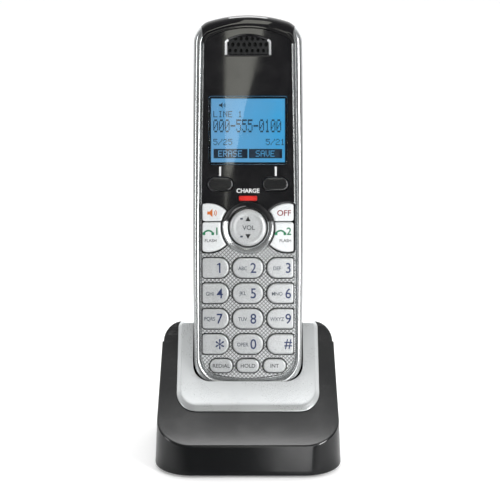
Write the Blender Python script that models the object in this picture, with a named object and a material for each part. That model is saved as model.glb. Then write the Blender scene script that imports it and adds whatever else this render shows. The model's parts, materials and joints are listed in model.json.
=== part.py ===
"""Cordless telephone: a handset with its keys and inner parts, standing in a charging cradle.

Metres, +Z up, the front towards -Y, the origin under the middle of the whole object.
The handset is laid out in its own frame: X across, Y from front to back, Z from its lower end up.
That frame then leans back in the cradle.
"""

import math

import bmesh
import bpy
from mathutils import Vector

MM = 0.001
GAP = 0.35 * MM  # between neighbouring pieces
WALL = 1.6 * MM  # moulded walls of both housings

# The handset's outer form.
LENGTH = 170 * MM
THICKNESS = 26 * MM
HALF_WIDTH = 25 * MM  # at half its length
BOTTOM_NARROWING = 1.0 * MM  # of the half width, at the lower end
TOP_NARROWING = 0.7 * MM
BOTTOM_CORNER = 10 * MM
SHOULDER = 7 * MM
TOP_ARC = 62 * MM  # radius of the top edge, seen from the front
BOTTOM_ARC = 80 * MM
PARTING = 12.85 * MM  # depth of the joint between the front and rear shells
LEAN = math.radians(15)

# The face: a black lens above and a silver key panel below, inside the front shell's frame.
FACE_HALF_WIDTH = 20.95 * MM
FACE_TOP_NARROWING = 1.45 * MM
FACE_BOTTOM = 6.3 * MM  # from the lower end to the face's lower edge
FACE_TOP = 6.0 * MM
LENS_BOTTOM = 77 * MM  # where the lens meets the key panel
LENS_FRONT = 0.45 * MM
PANEL_FRONT = 0.9 * MM
FACE_BACK = 2.4 * MM
DECK_FRONT = 2.75 * MM  # the front shell's floor under the lens and the panel
DECK_BACK = 3.9 * MM

# Display and earpiece.
WINDOW_CENTRE = 118 * MM
WINDOW_HALF = (17.55 * MM, 15.25 * MM)
BAR_CENTRE = 87.5 * MM  # the charge light, between the soft keys
BAR_HALF = (4.1 * MM, 1.1 * MM)
EARPIECE_LOW = 151 * MM
EARPIECE_HIGH = 160.6 * MM
EARPIECE_HALF_WIDTH = 10.5 * MM

# Keys.
KEY_PROUD = 0.65 * MM  # crown of a key in front of the frame
KEY_BACK = 3.95 * MM
KEY_TRAVEL = 0.8 * MM
OPENING_FRONT = -3 * MM  # the cutters of the openings in the face run from here
OPENING_BACK = 4.6 * MM  # to here, behind the deck
ROW_PITCH = 11.44 * MM
FIRST_ROW = 56.2 * MM
KEY_HALF_HEIGHT = 4.5 * MM
MIDDLE_KEY_HALF_WIDTH = 6.85 * MM
SIDE_KEY_INNER = 8.6 * MM
SIDE_KEY_OUTER = 20.5 * MM
SMALL_KEY_HALF = (5.1 * MM, 3.1 * MM)
SMALL_ROW = 12.1 * MM
SMALL_PITCH = 12 * MM
SOFT_KEY_HALF = (5.65 * MM, 2.95 * MM)
SOFT_KEY_CENTRE = (12.4 * MM, 93.8 * MM)
NAV_CENTRE = 74.3 * MM
NAV_RADIUS = 8.3 * MM
NAV_HOLE = 9.0 * MM
RING_RADIUS = 12.3 * MM  # inner edge of the four function keys, round the rocker
FUNCTION_CENTRE = 17.7 * MM
FUNCTION_RADIUS = 10.95 * MM
FUNCTION_SPLIT = 2.7 * MM  # above the rocker's centre
FUNCTION_KEYS = ("key_speaker", "key_line_1", "key_off", "key_line_2")

# Battery door.
DOOR_HALF_WIDTH = 15.55 * MM
DOOR_LOW = 46.5 * MM
DOOR_HIGH = 112 * MM
DOOR_FRONT = 24.65 * MM
DOOR_TRAVEL = 8 * MM

# Rear screws and loudspeaker, in the handset's frame.
SCREW_X = 12.5 * MM
SCREW_HEIGHT = 149 * MM
SPEAKER_HEIGHT = 133 * MM
SOUND_SLOT_PITCH = 3 * MM
SOUND_SLOT_HALF_HEIGHT = 0.6 * MM

# Inner parts, by their depth in the handset.
BOARD_FRONT = 9.2 * MM
BOARD_BACK = 10.4 * MM
MAT_BACK = 6.2 * MM
SHIELD_BACK = 13.2 * MM
CAPSULE_FRONT = 5.1 * MM  # clear of the small keys at the end of their travel

# Charging contacts, in the handset's frame.
CONTACT_X = 9 * MM
CONTACT_Y = 15.95 * MM

# Cradle, in its own frame.
CRADLE_HALF_WIDTH = 41.5 * MM
CRADLE_FRONT = -40 * MM
CRADLE_BACK = 32 * MM
CRADLE_BOTTOM = 1.0 * MM
FRONT_CORNER = 17 * MM
BACK_CORNER = 8.5 * MM
RIDGE_Y = -37 * MM
RIDGE_HEIGHT = 14 * MM
SWEEP_SLOPE = 0.52
SWEEP_CURVE = 2.7  # per metre: how fast the top gets steeper towards the back
CREST_Y = 20 * MM  # behind this line the top falls away
CREST_CORNER = 8.5 * MM  # the line curves forward towards both sides
CREST_HALF_WIDTH = 38.6 * MM
BACK_FALL = 0.45  # slope behind the crest
SIDE_DRAFT = 0.05
FRONT_DRAFT = 0.16
CRADLE_WALL = 2.0 * MM
PLATE_HALF_WIDTH = 32 * MM
PLATE_FRONT = -20.4 * MM
PLATE_BACK = 19.9 * MM
SEAT = (-8.4 * MM, 28.2 * MM)  # Y and Z of the handset's own origin in the cradle
BASE_BOTTOM = 1.5 * MM
BASE_TOP = 3.1 * MM
FOOT_PLACES = ((-31, -27), (31, -27), (-31, 23), (31, 23))
SCREW_PLACES = ((-33, -14), (33, -14), (-33, 12), (33, 12))
INLET_PLACE = (20 * MM, 12 * MM)  # X and Z of the power inlet

CENTRING = -9.43 * MM  # moves the cradle's frame so that the object's box is centred on the origin


def clear_scene():
    for old in list(bpy.data.objects):
        bpy.data.objects.remove(old, do_unlink=True)


def make_material(name, colour, roughness, metallic=0.0):
    material = bpy.data.materials.new(name)
    material.use_nodes = True
    shader = material.node_tree.nodes["Principled BSDF"]
    shader.inputs["Base Color"].default_value = (*colour, 1)
    shader.inputs["Roughness"].default_value = roughness
    shader.inputs["Metallic"].default_value = metallic
    material.diffuse_color = (*colour, 1)
    return material


# Outlines: lists of (across, up) points, anticlockwise.


def arc(centre, radius, start, end, steps):
    """Points on a circle from one angle to another, both ends included, angles in degrees."""
    points = []
    for step in range(steps + 1):
        angle = math.radians(start + (end - start) * step / steps)
        points.append((centre[0] + radius * math.cos(angle), centre[1] + radius * math.sin(angle)))
    return points


def rounded_polygon(corners, corner_steps=4, side_steps=1):
    """An outline from (across, up, radius) corners given anticlockwise."""
    arcs = []
    for index, (across, up, radius) in enumerate(corners):
        corner = Vector((across, up))
        before = (Vector(corners[index - 1][:2]) - corner).normalized()
        after = (Vector(corners[(index + 1) % len(corners)][:2]) - corner).normalized()
        half = before.angle(after) / 2
        centre = corner + (before + after).normalized() * (radius / math.sin(half))
        start = corner + before * (radius / math.tan(half)) - centre
        turn = math.pi - 2 * half
        angle = math.atan2(start.y, start.x)
        arcs.append(arc(centre, radius, math.degrees(angle), math.degrees(angle + turn), corner_steps))
    outline = []
    for index, points in enumerate(arcs):
        outline += points
        end = Vector(points[-1])
        start = Vector(arcs[(index + 1) % len(arcs)][0])
        for step in range(1, side_steps):
            outline.append(tuple(end.lerp(start, step / side_steps)))
    return outline


def rounded_box(centre, half_size, radius, corner_steps=4):
    across, up = centre
    half_across, half_up = half_size
    return rounded_polygon(
        [
            (across - half_across, up - half_up, radius),
            (across + half_across, up - half_up, radius),
            (across + half_across, up + half_up, radius),
            (across - half_across, up + half_up, radius),
        ],
        corner_steps,
    )


def grow(outline, distance):
    """The outline moved outwards by distance, or inwards where it is negative."""
    moved = []
    for index, point in enumerate(outline):
        here = Vector(point)
        arriving = (here - Vector(outline[index - 1])).normalized()
        leaving = (Vector(outline[(index + 1) % len(outline)]) - here).normalized()
        first = Vector((arriving.y, -arriving.x))
        second = Vector((leaving.y, -leaving.x))
        moved.append(tuple(here + (first + second) * (distance / (1 + first.dot(second)))))
    return moved


def clip(outline, height, keep_above):
    """The part of the outline above or below a level line."""
    kept = []
    for here, after in zip(outline, outline[1:] + outline[:1]):
        here_kept = (here[1] >= height) == keep_above
        if here_kept:
            kept.append(here)
        if here_kept != ((after[1] >= height) == keep_above):
            share = (height - here[1]) / (after[1] - here[1])
            kept.append((here[0] + (after[0] - here[0]) * share, height))
    return kept


def at_depth(outline, depth):
    """A ring in the handset's frame, facing its front."""
    return [Vector((across, depth, up)) for across, up in outline]


def at_height(outline, height):
    """A level ring: the outline's second number is its Y."""
    return [Vector((across, deep, height)) for across, deep in outline]


def prism(outline, front, back):
    return [at_depth(outline, front), at_depth(outline, back)]


# Solids: each is one or more lofts through rings of points.


def add_loft(mesh, rings, ladder):
    """Skins the rings and closes both ends. A ladder closes them with strips from side to side."""
    rows = [[mesh.verts.new(point) for point in ring] for ring in rings]
    count = len(rows[0])
    for lower, upper in zip(rows, rows[1:]):
        for index in range(count):
            after = (index + 1) % count
            mesh.faces.new((lower[index], lower[after], upper[after], upper[index]))
    for row in (rows[0], rows[-1]):
        if not ladder:
            mesh.faces.new(row)
            continue
        for index in range(count // 2 - 1):
            mesh.faces.new((row[index], row[index + 1], row[-2 - index], row[-1 - index]))


def make_solid(name, lofts, material=None, parent=None, origin=(0, 0, 0), ladder=False):
    mesh = bmesh.new()
    for rings in lofts:
        add_loft(mesh, rings, ladder)
    bmesh.ops.recalc_face_normals(mesh, faces=mesh.faces)
    bmesh.ops.translate(mesh, verts=mesh.verts, vec=-Vector(origin))
    data = bpy.data.meshes.new(name)
    mesh.to_mesh(data)
    mesh.free()
    data.shade_smooth()
    data.set_sharp_from_angle(angle=math.radians(35))
    made = bpy.data.objects.new(name, data)
    bpy.context.scene.collection.objects.link(made)
    made.parent = parent
    made.location = origin
    if material:
        data.materials.append(material)
    return made


def make_cutter(name, lofts, parent=None, ladder=False):
    cutter = make_solid(name, lofts, parent=parent, ladder=ladder)
    cutter.hide_render = True
    cutter.display_type = "WIRE"
    return cutter


def apply_cutters(piece, cutters, operation="DIFFERENCE"):
    for cutter in cutters:
        modifier = piece.modifiers.new(cutter.name, "BOOLEAN")
        modifier.operation = operation
        modifier.object = cutter


def make_frame(name, location, lean=0.0, parent=None):
    frame = bpy.data.objects.new(name, None)
    bpy.context.scene.collection.objects.link(frame)
    frame.parent = parent
    frame.location = location
    frame.rotation_euler = (lean, 0, 0)
    return frame


def turned(profile, place, direction, segments=16):
    """Rings of a turned piece: (radius, distance) pairs along a direction, "up" or "back"."""
    rings = []
    for radius, distance in profile:
        circle = arc((0, 0), radius, 0, 360 * (segments - 1) / segments, segments - 1)
        if direction == "up":
            ring = [Vector((a, b, distance)) for a, b in circle]
        else:
            ring = [Vector((a, distance, b)) for a, b in circle]
        rings.append([point + Vector(place) for point in ring])
    return rings


# Handset form


def barrel(up, narrowing_below, narrowing_above):
    """How much the half width loses at this height."""
    share = up / (LENGTH / 2) - 1
    return (narrowing_below if share < 0 else narrowing_above) * share * share


def handset_outline(inset=0.0, face_share=0.0):
    """The handset seen from the front, moved in by inset, and then part of the way to the face's edge."""
    bottom = inset + FACE_BOTTOM * face_share
    top = LENGTH - inset - FACE_TOP * face_share
    bottom_radius = BOTTOM_CORNER - 0.6 * inset - 2.5 * MM * face_share
    top_radius = SHOULDER - 0.6 * inset - 4.0 * MM * face_share
    square = rounded_polygon(
        [
            (-HALF_WIDTH, bottom, bottom_radius),
            (HALF_WIDTH, bottom, bottom_radius),
            (HALF_WIDTH, top, top_radius),
            (-HALF_WIDTH, top, top_radius),
        ],
        corner_steps=4,
        side_steps=6,
    )
    outline = []
    for across, up in square:
        outer = HALF_WIDTH - barrel(up, BOTTOM_NARROWING, TOP_NARROWING) - inset
        above_lens = min(1, max(0, (up - LENS_BOTTOM) / (LENGTH - LENS_BOTTOM)))
        face = FACE_HALF_WIDTH - FACE_TOP_NARROWING * above_lens
        half_width = outer + (face - outer) * face_share
        high = min(1, max(0, (up - 0.6 * LENGTH) / (0.3 * LENGTH)))
        low = min(1, max(0, 1 - up / (0.3 * LENGTH)))
        crown = across * across / 2
        up += crown * (low / BOTTOM_ARC - high / TOP_ARC)
        outline.append((across * half_width / HALF_WIDTH, up))
    return outline


def front_rings():
    """The front shell with its floor: from the floor over the frame's crest, and back up inside."""
    outer = [
        (1.0, DECK_FRONT),
        (1.0, 0.9 * MM),
        (0.85, 0.25 * MM),
        (0.55, 0.0),
        (0.28, 0.45 * MM),
        (0.08, 1.7 * MM),
        (0.0, 4.0 * MM),
        (0.0, PARTING - GAP / 2),
    ]
    rings = [at_depth(handset_outline(face_share=share), depth) for share, depth in outer]
    for inset, depth in ((WALL, PARTING - GAP / 2), (WALL, 6 * MM), (WALL + 1 * MM, DECK_BACK)):
        rings.append(at_depth(handset_outline(inset), depth))
    return rings


def rear_rings():
    outer = [(8.5, 26.0), (5.4, 25.2), (2.8, 23.3), (0.9, 20.0), (0.0, 16.0)]
    inner = [(1.6, 16.0), (2.6, 19.4), (4.6, 21.8), (7.0, 22.7), (9.0, 22.9)]
    rings = [at_depth(handset_outline(inset * MM), depth * MM) for inset, depth in outer]
    rings.append(at_depth(handset_outline(), PARTING + GAP / 2))
    rings.append(at_depth(handset_outline(WALL), PARTING + GAP / 2))
    rings += [at_depth(handset_outline(inset * MM), depth * MM) for inset, depth in inner]
    return rings


def top_outline():
    """The black end of the handset, between the shoulders, seen from the front."""
    low, high, above = 163 * MM, 168.4 * MM, 175 * MM
    inner, outer = 18.3 * MM, 23 * MM
    return [(-inner, low), (inner, low), (outer, high), (outer, above), (-outer, above), (-outer, high)]


def earpiece_outline():
    half, low, high = EARPIECE_HALF_WIDTH, EARPIECE_LOW, EARPIECE_HIGH
    top = [(x * half / 5, high - x * x * 0.035 * MM) for x in (4, 2, 0, -2, -4)]
    return [(-half, low), (half, low), (half, high - 2.2 * MM), *top, (-half, high - 2.2 * MM)]


# Keys


def function_key_outline(side, low, high):
    """A round key cut off by the face's edge and the rocker's ring; low and high count from its centre."""
    top_angle = math.degrees(math.acos((SIDE_KEY_OUTER - FUNCTION_CENTRE) / FUNCTION_RADIUS))
    meet_across = (RING_RADIUS**2 - FUNCTION_RADIUS**2 + FUNCTION_CENTRE**2) / (2 * FUNCTION_CENTRE)
    ring_angle = math.degrees(math.acos(meet_across / RING_RADIUS))
    meet_angle = math.degrees(math.acos((meet_across - FUNCTION_CENTRE) / FUNCTION_RADIUS))
    ring_low = -ring_angle if low is None else math.degrees(math.asin(low / RING_RADIUS))
    ring_high = ring_angle if high is None else math.degrees(math.asin(high / RING_RADIUS))
    middle = (FUNCTION_CENTRE, 0)
    outline = arc((0, 0), RING_RADIUS, ring_high, ring_low, 5)
    if low is None:
        outline += arc(middle, FUNCTION_RADIUS, -meet_angle, -top_angle, 7)[1:]
    else:
        outline.append((SIDE_KEY_OUTER, low))
    if high is None:
        outline += arc(middle, FUNCTION_RADIUS, top_angle, meet_angle, 7)[:-1]
    else:
        outline.append((SIDE_KEY_OUTER, high))
    if side < 0:
        outline = [(-across, up) for across, up in reversed(outline)]
    return [(across, up + NAV_CENTRE) for across, up in outline]


def side_key_outline(side, up):
    centre = (SIDE_KEY_OUTER + SIDE_KEY_INNER) / 2
    half = (SIDE_KEY_OUTER - SIDE_KEY_INNER) / 2
    low, high = up - KEY_HALF_HEIGHT, up + KEY_HALF_HEIGHT
    outline = rounded_polygon(
        [
            (centre - half, low, 4.2 * MM),
            (centre + half, low, 0.5 * MM),
            (centre + half, high, 0.5 * MM),
            (centre - half, high, 4.2 * MM),
        ]
    )
    return outline if side > 0 else [(-across, height) for across, height in reversed(outline)]


def key_outlines():
    """Every key that slides, by name."""
    keys = {}
    dial = (("1", "2", "3"), ("4", "5", "6"), ("7", "8", "9"), ("star", "0", "hash"))
    for row, names in enumerate(dial):
        up = FIRST_ROW - row * ROW_PITCH
        keys["key_" + names[0]] = side_key_outline(-1, up)
        keys["key_" + names[1]] = rounded_box((0, up), (MIDDLE_KEY_HALF_WIDTH, KEY_HALF_HEIGHT), 4.2 * MM)
        keys["key_" + names[2]] = side_key_outline(1, up)
    for column, name in enumerate(("redial", "hold", "intercom")):
        keys["key_" + name] = rounded_box(((column - 1) * SMALL_PITCH, SMALL_ROW), SMALL_KEY_HALF, 2.9 * MM)
    for side, upper, lower in ((-1, "speaker", "line_1"), (1, "off", "line_2")):
        keys["key_" + upper] = function_key_outline(side, FUNCTION_SPLIT + GAP / 2, None)
        keys["key_" + lower] = function_key_outline(side, None, FUNCTION_SPLIT - GAP / 2)
    across, up = SOFT_KEY_CENTRE
    for side, name in ((-1, "soft_key_left"), (1, "soft_key_right")):
        keys[name] = rounded_box((side * across, up), SOFT_KEY_HALF, 2.8 * MM)
    return keys


def key_rings(outline):
    levels = ((0.0, KEY_BACK), (0.0, -0.1 * MM), (-0.4 * MM, -0.5 * MM), (-1.1 * MM, -KEY_PROUD))
    return [at_depth(grow(outline, distance), depth) for distance, depth in levels]


def make_key(name, outline, material, parent):
    middle = Vector((0, 0))
    for point in outline:
        middle += Vector(point) / len(outline)
    return make_solid(name, [key_rings(outline)], material, parent, (middle.x, 0, middle.y))


def make_keys(handset, key_plastic, soft_plastic):
    for name, outline in key_outlines().items():
        soft = name.startswith("soft")
        make_key(name, outline, soft_plastic if soft else key_plastic, handset)
    rocker = ((NAV_RADIUS, KEY_BACK), (NAV_RADIUS, 0.3 * MM), (7.6 * MM, -0.4 * MM), (6 * MM, -0.8 * MM))
    place = (0, 0, NAV_CENTRE)
    pivot = (0, DECK_FRONT, NAV_CENTRE)
    make_solid("volume_rocker", [turned(rocker, place, "back", 32)], key_plastic, handset, pivot)


def key_openings(parent):
    """One cutter for the openings of all the keys, through the lens, the panel and the deck."""
    outlines = [outline for name, outline in key_outlines().items() if name not in FUNCTION_KEYS]
    outlines += [function_key_outline(side, None, None) for side in (-1, 1)]
    lofts = [prism(grow(outline, GAP), OPENING_FRONT, OPENING_BACK) for outline in outlines]
    hole = ((NAV_HOLE, OPENING_FRONT), (NAV_HOLE, OPENING_BACK))
    lofts.append(turned(hole, (0, 0, NAV_CENTRE), "back", 32))
    return make_cutter("key_openings", lofts, parent)


# Handset pieces


def make_front(handset, silver, black):
    openings = key_openings(handset)
    end = make_cutter("top_region", [prism(top_outline(), -5 * MM, 20 * MM)], handset)
    beyond = make_cutter("beyond_top", [prism(grow(top_outline(), GAP), -5 * MM, 20 * MM)], handset)
    window = rounded_box((0, WINDOW_CENTRE), WINDOW_HALF, 1.0 * MM, 2)
    window_loft = prism(grow(window, GAP), OPENING_FRONT, 2.6 * MM)
    window_opening = make_cutter("window_opening", [window_loft], handset)
    lcd_bay = make_cutter("lcd_bay", [prism(grow(window, 2 * GAP), 2.6 * MM, 5 * MM)], handset)
    earpiece = make_cutter("earpiece_opening", [prism(earpiece_outline(), OPENING_FRONT, 5 * MM)], handset)
    bar = rounded_box((0, BAR_CENTRE), BAR_HALF, 0.6 * MM, 2)
    bar_opening = make_cutter("light_opening", [prism(grow(bar, GAP), OPENING_FRONT, OPENING_BACK)], handset)

    shell = make_solid("front_shell", [front_rings()], silver, handset)
    apply_cutters(shell, (beyond, openings, lcd_bay, earpiece, bar_opening))
    cap = make_solid("top_cap", [front_rings()], black, handset)
    apply_cutters(cap, (end,), "INTERSECT")

    face = grow(handset_outline(face_share=1.0), -GAP)
    lens_outline = clip(face, LENS_BOTTOM + GAP / 2, True)
    lens_rings = [
        at_depth(lens_outline, FACE_BACK),
        at_depth(lens_outline, LENS_FRONT + 0.3 * MM),
        at_depth(grow(lens_outline, -0.3 * MM), LENS_FRONT),
    ]
    lens = make_solid("face_lens", [lens_rings], black, handset)
    apply_cutters(lens, (openings, window_opening, earpiece, bar_opening))

    panel_outline = clip(face, LENS_BOTTOM - GAP / 2, False)
    panel_rings = [
        at_depth(panel_outline, FACE_BACK),
        at_depth(panel_outline, PANEL_FRONT + 0.3 * MM),
        at_depth(grow(panel_outline, -0.3 * MM), PANEL_FRONT),
    ]
    panel = make_solid("keypad_panel", [panel_rings], silver, handset)
    apply_cutters(panel, (openings,))
    return window, bar


def make_rear(handset, black):
    recess = rounded_polygon(
        [
            (-DOOR_HALF_WIDTH - GAP, DOOR_LOW - DOOR_TRAVEL - 0.5 * MM, 2 * MM),
            (DOOR_HALF_WIDTH + GAP, DOOR_LOW - DOOR_TRAVEL - 0.5 * MM, 2 * MM),
            (DOOR_HALF_WIDTH + GAP, DOOR_HIGH + GAP, 2 * MM),
            (-DOOR_HALF_WIDTH - GAP, DOOR_HIGH + GAP, 2 * MM),
        ]
    )
    bay = rounded_box((0, 78 * MM), (13 * MM, 27 * MM), 1.5 * MM, 2)
    slots = []
    for row in range(-2, 3):
        half_size = ((8 - abs(row)) * MM, SOUND_SLOT_HALF_HEIGHT)
        outline = rounded_box((0, SPEAKER_HEIGHT + row * SOUND_SLOT_PITCH), half_size, 0.55 * MM, 2)
        slots.append(prism(outline, 20 * MM, 28 * MM))
    holes = [
        turned(((2.3 * MM, 20 * MM), (2.3 * MM, 28 * MM)), (side * SCREW_X, 0, SCREW_HEIGHT), "back", 12)
        for side in (-1, 1)
    ]
    contacts = []
    for side in (-1, 1):
        outline = rounded_box((side * CONTACT_X, CONTACT_Y), (2.3 * MM, 2.05 * MM), 0.3 * MM, 2)
        contacts.append([at_height(outline, -2 * MM), at_height(outline, 4 * MM)])
    shell = make_solid("rear_shell", [rear_rings()], black, handset)
    apply_cutters(
        shell,
        (
            make_cutter("door_recess", [prism(recess, 24.3 * MM, 30 * MM)], handset),
            make_cutter("battery_bay", [prism(bay, 20 * MM, 27 * MM)], handset),
            make_cutter("sound_slots", slots, handset),
            make_cutter("rear_screw_holes", holes, handset),
            make_cutter("contact_openings", contacts, handset),
        ),
    )


def make_door(handset, black):
    door = rounded_polygon(
        [
            (-DOOR_HALF_WIDTH, DOOR_LOW, 1.7 * MM),
            (DOOR_HALF_WIDTH, DOOR_LOW, 1.7 * MM),
            (DOOR_HALF_WIDTH, DOOR_HIGH, 1.7 * MM),
            (-DOOR_HALF_WIDTH, DOOR_HIGH, 1.7 * MM),
        ]
    )
    rings = [
        at_depth(door, DOOR_FRONT),
        at_depth(door, THICKNESS - 0.3 * MM),
        at_depth(grow(door, -0.3 * MM), THICKNESS),
    ]
    piece = make_solid("battery_door", [rings], black, handset)
    grooves = []
    for row in range(5):
        half = (3 + 1.2 * row) * MM
        outline = rounded_box((0, (100 + 2 * row) * MM), (half, 0.5 * MM), 0.45 * MM, 2)
        grooves.append(prism(outline, THICKNESS - 0.5 * MM, THICKNESS + 1 * MM))
    apply_cutters(piece, (make_cutter("grip_grooves", grooves, handset),))


def make_display(handset, window, bar, clear, glass, red, pale):
    window_rings = [at_depth(window, 2.3 * MM), at_depth(window, LENS_FRONT + 0.1 * MM)]
    make_solid("display_window", [window_rings], clear, handset)
    make_solid("lcd_module", [prism(grow(window, GAP), DECK_FRONT, 5.2 * MM)], glass, handset)
    make_solid("lcd_backlight", [prism(window, 5.55 * MM, 7.2 * MM)], pale, handset)
    make_solid("charge_light_pipe", [prism(bar, LENS_FRONT + 0.15 * MM, 4.6 * MM)], red, handset)


def make_sound(handset, black, metal):
    plate = prism(grow(earpiece_outline(), -GAP), 1.7 * MM, FACE_BACK - 0.05 * MM)
    grille = make_solid("earpiece_grille", [plate], black, handset)
    slots = [
        prism(rounded_box((2.5 * MM * column, 154.8 * MM), (0.6 * MM, 2.6 * MM), 0.5 * MM, 2), 0, 4 * MM)
        for column in range(-3, 4)
    ]
    apply_cutters(grille, (make_cutter("grille_slots", slots, handset),))
    earpiece = ((5.5 * MM, 4.4 * MM), (7 * MM, 4.9 * MM), (7 * MM, 6.6 * MM), (4.5 * MM, 7.4 * MM))
    make_solid("earpiece_speaker", [turned(earpiece, (0, 0, 154 * MM), "back", 20)], metal, handset)
    speaker = ((6 * MM, 16.5 * MM), (6 * MM, 18.5 * MM), (11 * MM, 20 * MM), (11 * MM, 22.3 * MM))
    make_solid("loudspeaker", [turned(speaker, (0, 0, SPEAKER_HEIGHT), "back", 24)], metal, handset)
    capsule = ((3 * MM, CAPSULE_FRONT), (3 * MM, CAPSULE_FRONT + 2.4 * MM))
    make_solid("microphone", [turned(capsule, (0, 0, 6.2 * MM), "back")], metal, handset)


def make_electronics(handset, green, grey, metal, blue):
    board = rounded_box((0, 79 * MM), (19.5 * MM, 69 * MM), 3 * MM, 3)
    shield = rounded_box((0, 122 * MM), (14 * MM, 11 * MM), 1 * MM, 2)
    make_solid("main_board", [prism(board, BOARD_FRONT, BOARD_BACK)], green, handset)
    make_solid("radio_shield", [prism(shield, BOARD_BACK + GAP, SHIELD_BACK)], metal, handset)
    mat = rounded_box((0, 54.5 * MM), (19.3 * MM, 43.5 * MM), 2 * MM, 2)
    make_solid("keypad_mat", [prism(mat, KEY_BACK + KEY_TRAVEL + 0.4 * MM, MAT_BACK)], grey, handset)
    antenna = rounded_box((0, 155 * MM), (13 * MM, 2.2 * MM), 1 * MM, 2)
    make_solid("antenna", [prism(antenna, SHIELD_BACK - 0.8 * MM, SHIELD_BACK)], metal, handset)
    cells = rounded_box((0, 18 * MM), (10.7 * MM, 5.2 * MM), 5.1 * MM, 6)
    ends = ((-0.6, 56), (0, 56.6), (0, 99.4), (-0.6, 100))
    rings = [at_height(grow(cells, inset * MM), height * MM) for inset, height in ends]
    make_solid("battery_pack", [rings], blue, handset)
    screw = ((1.9 * MM, 25.0 * MM), (1.9 * MM, 23.6 * MM), (0.9 * MM, 23.2 * MM), (0.9 * MM, 14.5 * MM))
    for side, name in ((-1, "rear_screw_left"), (1, "rear_screw_right")):
        make_solid(name, [turned(screw, (side * SCREW_X, 0, SCREW_HEIGHT), "back", 12)], metal, handset)
    for side, name in ((-1, "handset_contact_left"), (1, "handset_contact_right")):
        outline = rounded_box((side * CONTACT_X, CONTACT_Y), (1.9 * MM, 1.7 * MM), 0.3 * MM, 2)
        make_solid(name, [[at_height(outline, 0.9 * MM), at_height(outline, 3.1 * MM)]], metal, handset)


# Cradle


def sweep_height(deep):
    """Height of the cradle's black top surface at this depth."""
    run = deep - RIDGE_Y
    return RIDGE_HEIGHT + SWEEP_SLOPE * run + SWEEP_CURVE * run * run


def mirrored(half):
    """A closed outline from its right half, given from front to back."""
    return half + [(-across, deep) for across, deep in reversed(half)]


def cradle_outline():
    front = CRADLE_FRONT + FRONT_CORNER
    back = CRADLE_BACK - BACK_CORNER
    half = arc((CRADLE_HALF_WIDTH - FRONT_CORNER, front), FRONT_CORNER, -90, 0, 6)
    sides = 9
    half += [(CRADLE_HALF_WIDTH, front + (back - front) * step / sides) for step in range(1, sides)]
    half += arc((CRADLE_HALF_WIDTH - BACK_CORNER, back), BACK_CORNER, 0, 90, 4)
    return mirrored(half)


def drafted_ring(outline, inset, height_of):
    """The outline drawn in by the walls' draft, each point at the height that height_of gives for its Y."""
    outward = [Vector(far) - Vector(near) for far, near in zip(grow(outline, 1 * MM), outline)]
    ring = []
    for (across, deep), step in zip(outline, outward):
        normal = step / MM
        draft = SIDE_DRAFT + FRONT_DRAFT * max(0.0, -normal.y) ** 2
        height = height_of(deep)
        for _ in range(4):
            move = inset + draft * height
            height = height_of(deep - normal.y * move)
        ring.append(Vector((across - normal.x * move, deep - normal.y * move, height)))
    return ring


def cradle_rings(wall=0.0):
    """The cradle's outer form, or its hollow where a wall is given."""
    outline = cradle_outline()
    if wall:
        return [
            drafted_ring(outline, wall, lambda deep: -5 * MM),
            drafted_ring(outline, wall, lambda deep: sweep_height(deep) - wall - 1.2 * MM),
            drafted_ring(outline, wall + 1.2 * MM, lambda deep: sweep_height(deep) - wall),
        ]
    return [
        drafted_ring(outline, 0.6 * MM, lambda deep: CRADLE_BOTTOM),
        drafted_ring(outline, 0.0, lambda deep: CRADLE_BOTTOM + 0.6 * MM),
        drafted_ring(outline, 0.0, lambda deep: sweep_height(deep) - 1.1 * MM),
        drafted_ring(outline, 0.35 * MM, lambda deep: sweep_height(deep) - 0.35 * MM),
        drafted_ring(outline, 1.1 * MM, sweep_height),
    ]


def behind_crest(lower=0.0):
    """Rings, from side to side, of the space behind the crest line and above the falling back."""
    corner = arc((CREST_HALF_WIDTH - CREST_CORNER, CREST_Y - CREST_CORNER), CREST_CORNER, 90, 0, 7)
    half = corner + [(CRADLE_HALF_WIDTH + 3 * MM, corner[-1][1])]
    line = [(-across, deep) for across, deep in reversed(half)] + half
    far, top = CRADLE_BACK + 8 * MM, 90 * MM
    rings = []
    for across, deep in line:
        height = sweep_height(deep) - lower
        end = height - BACK_FALL * (far - deep)
        corners = ((deep, height), (far, end), (far, top), (deep, top))
        rings.append([Vector((across, y, z)) for y, z in corners])
    return rings


def well_rings(wall=0.0):
    """The pocket that takes the handset's lower end, in the handset's frame, from its floor up."""
    levels = (
        (-0.7, 16.0, 2.4, 22.0, 5.0),
        (0.5, 19.6, 0.9, 24.4, 6.0),
        (2.0, 21.8, -0.3, 25.6, 6.5),
        (4.0, 23.4, -0.6, 26.3, 6.5),
        (8.0, 24.6, -0.6, 26.6, 6.0),
        (14.0, 25.0, -0.6, 26.6, 5.5),
        (70.0, 25.3, -0.6, 26.6, 5.5),
    )
    rings = []
    for height, half, front, back, radius in levels:
        centre = (0, (front + back) / 2 * MM)
        outline = rounded_box(centre, (half * MM, (back - front) / 2 * MM), radius * MM, 5)
        rings.append(at_height(grow(outline, wall), height * MM - (wall if height < 0 else 0)))
    return rings


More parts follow.
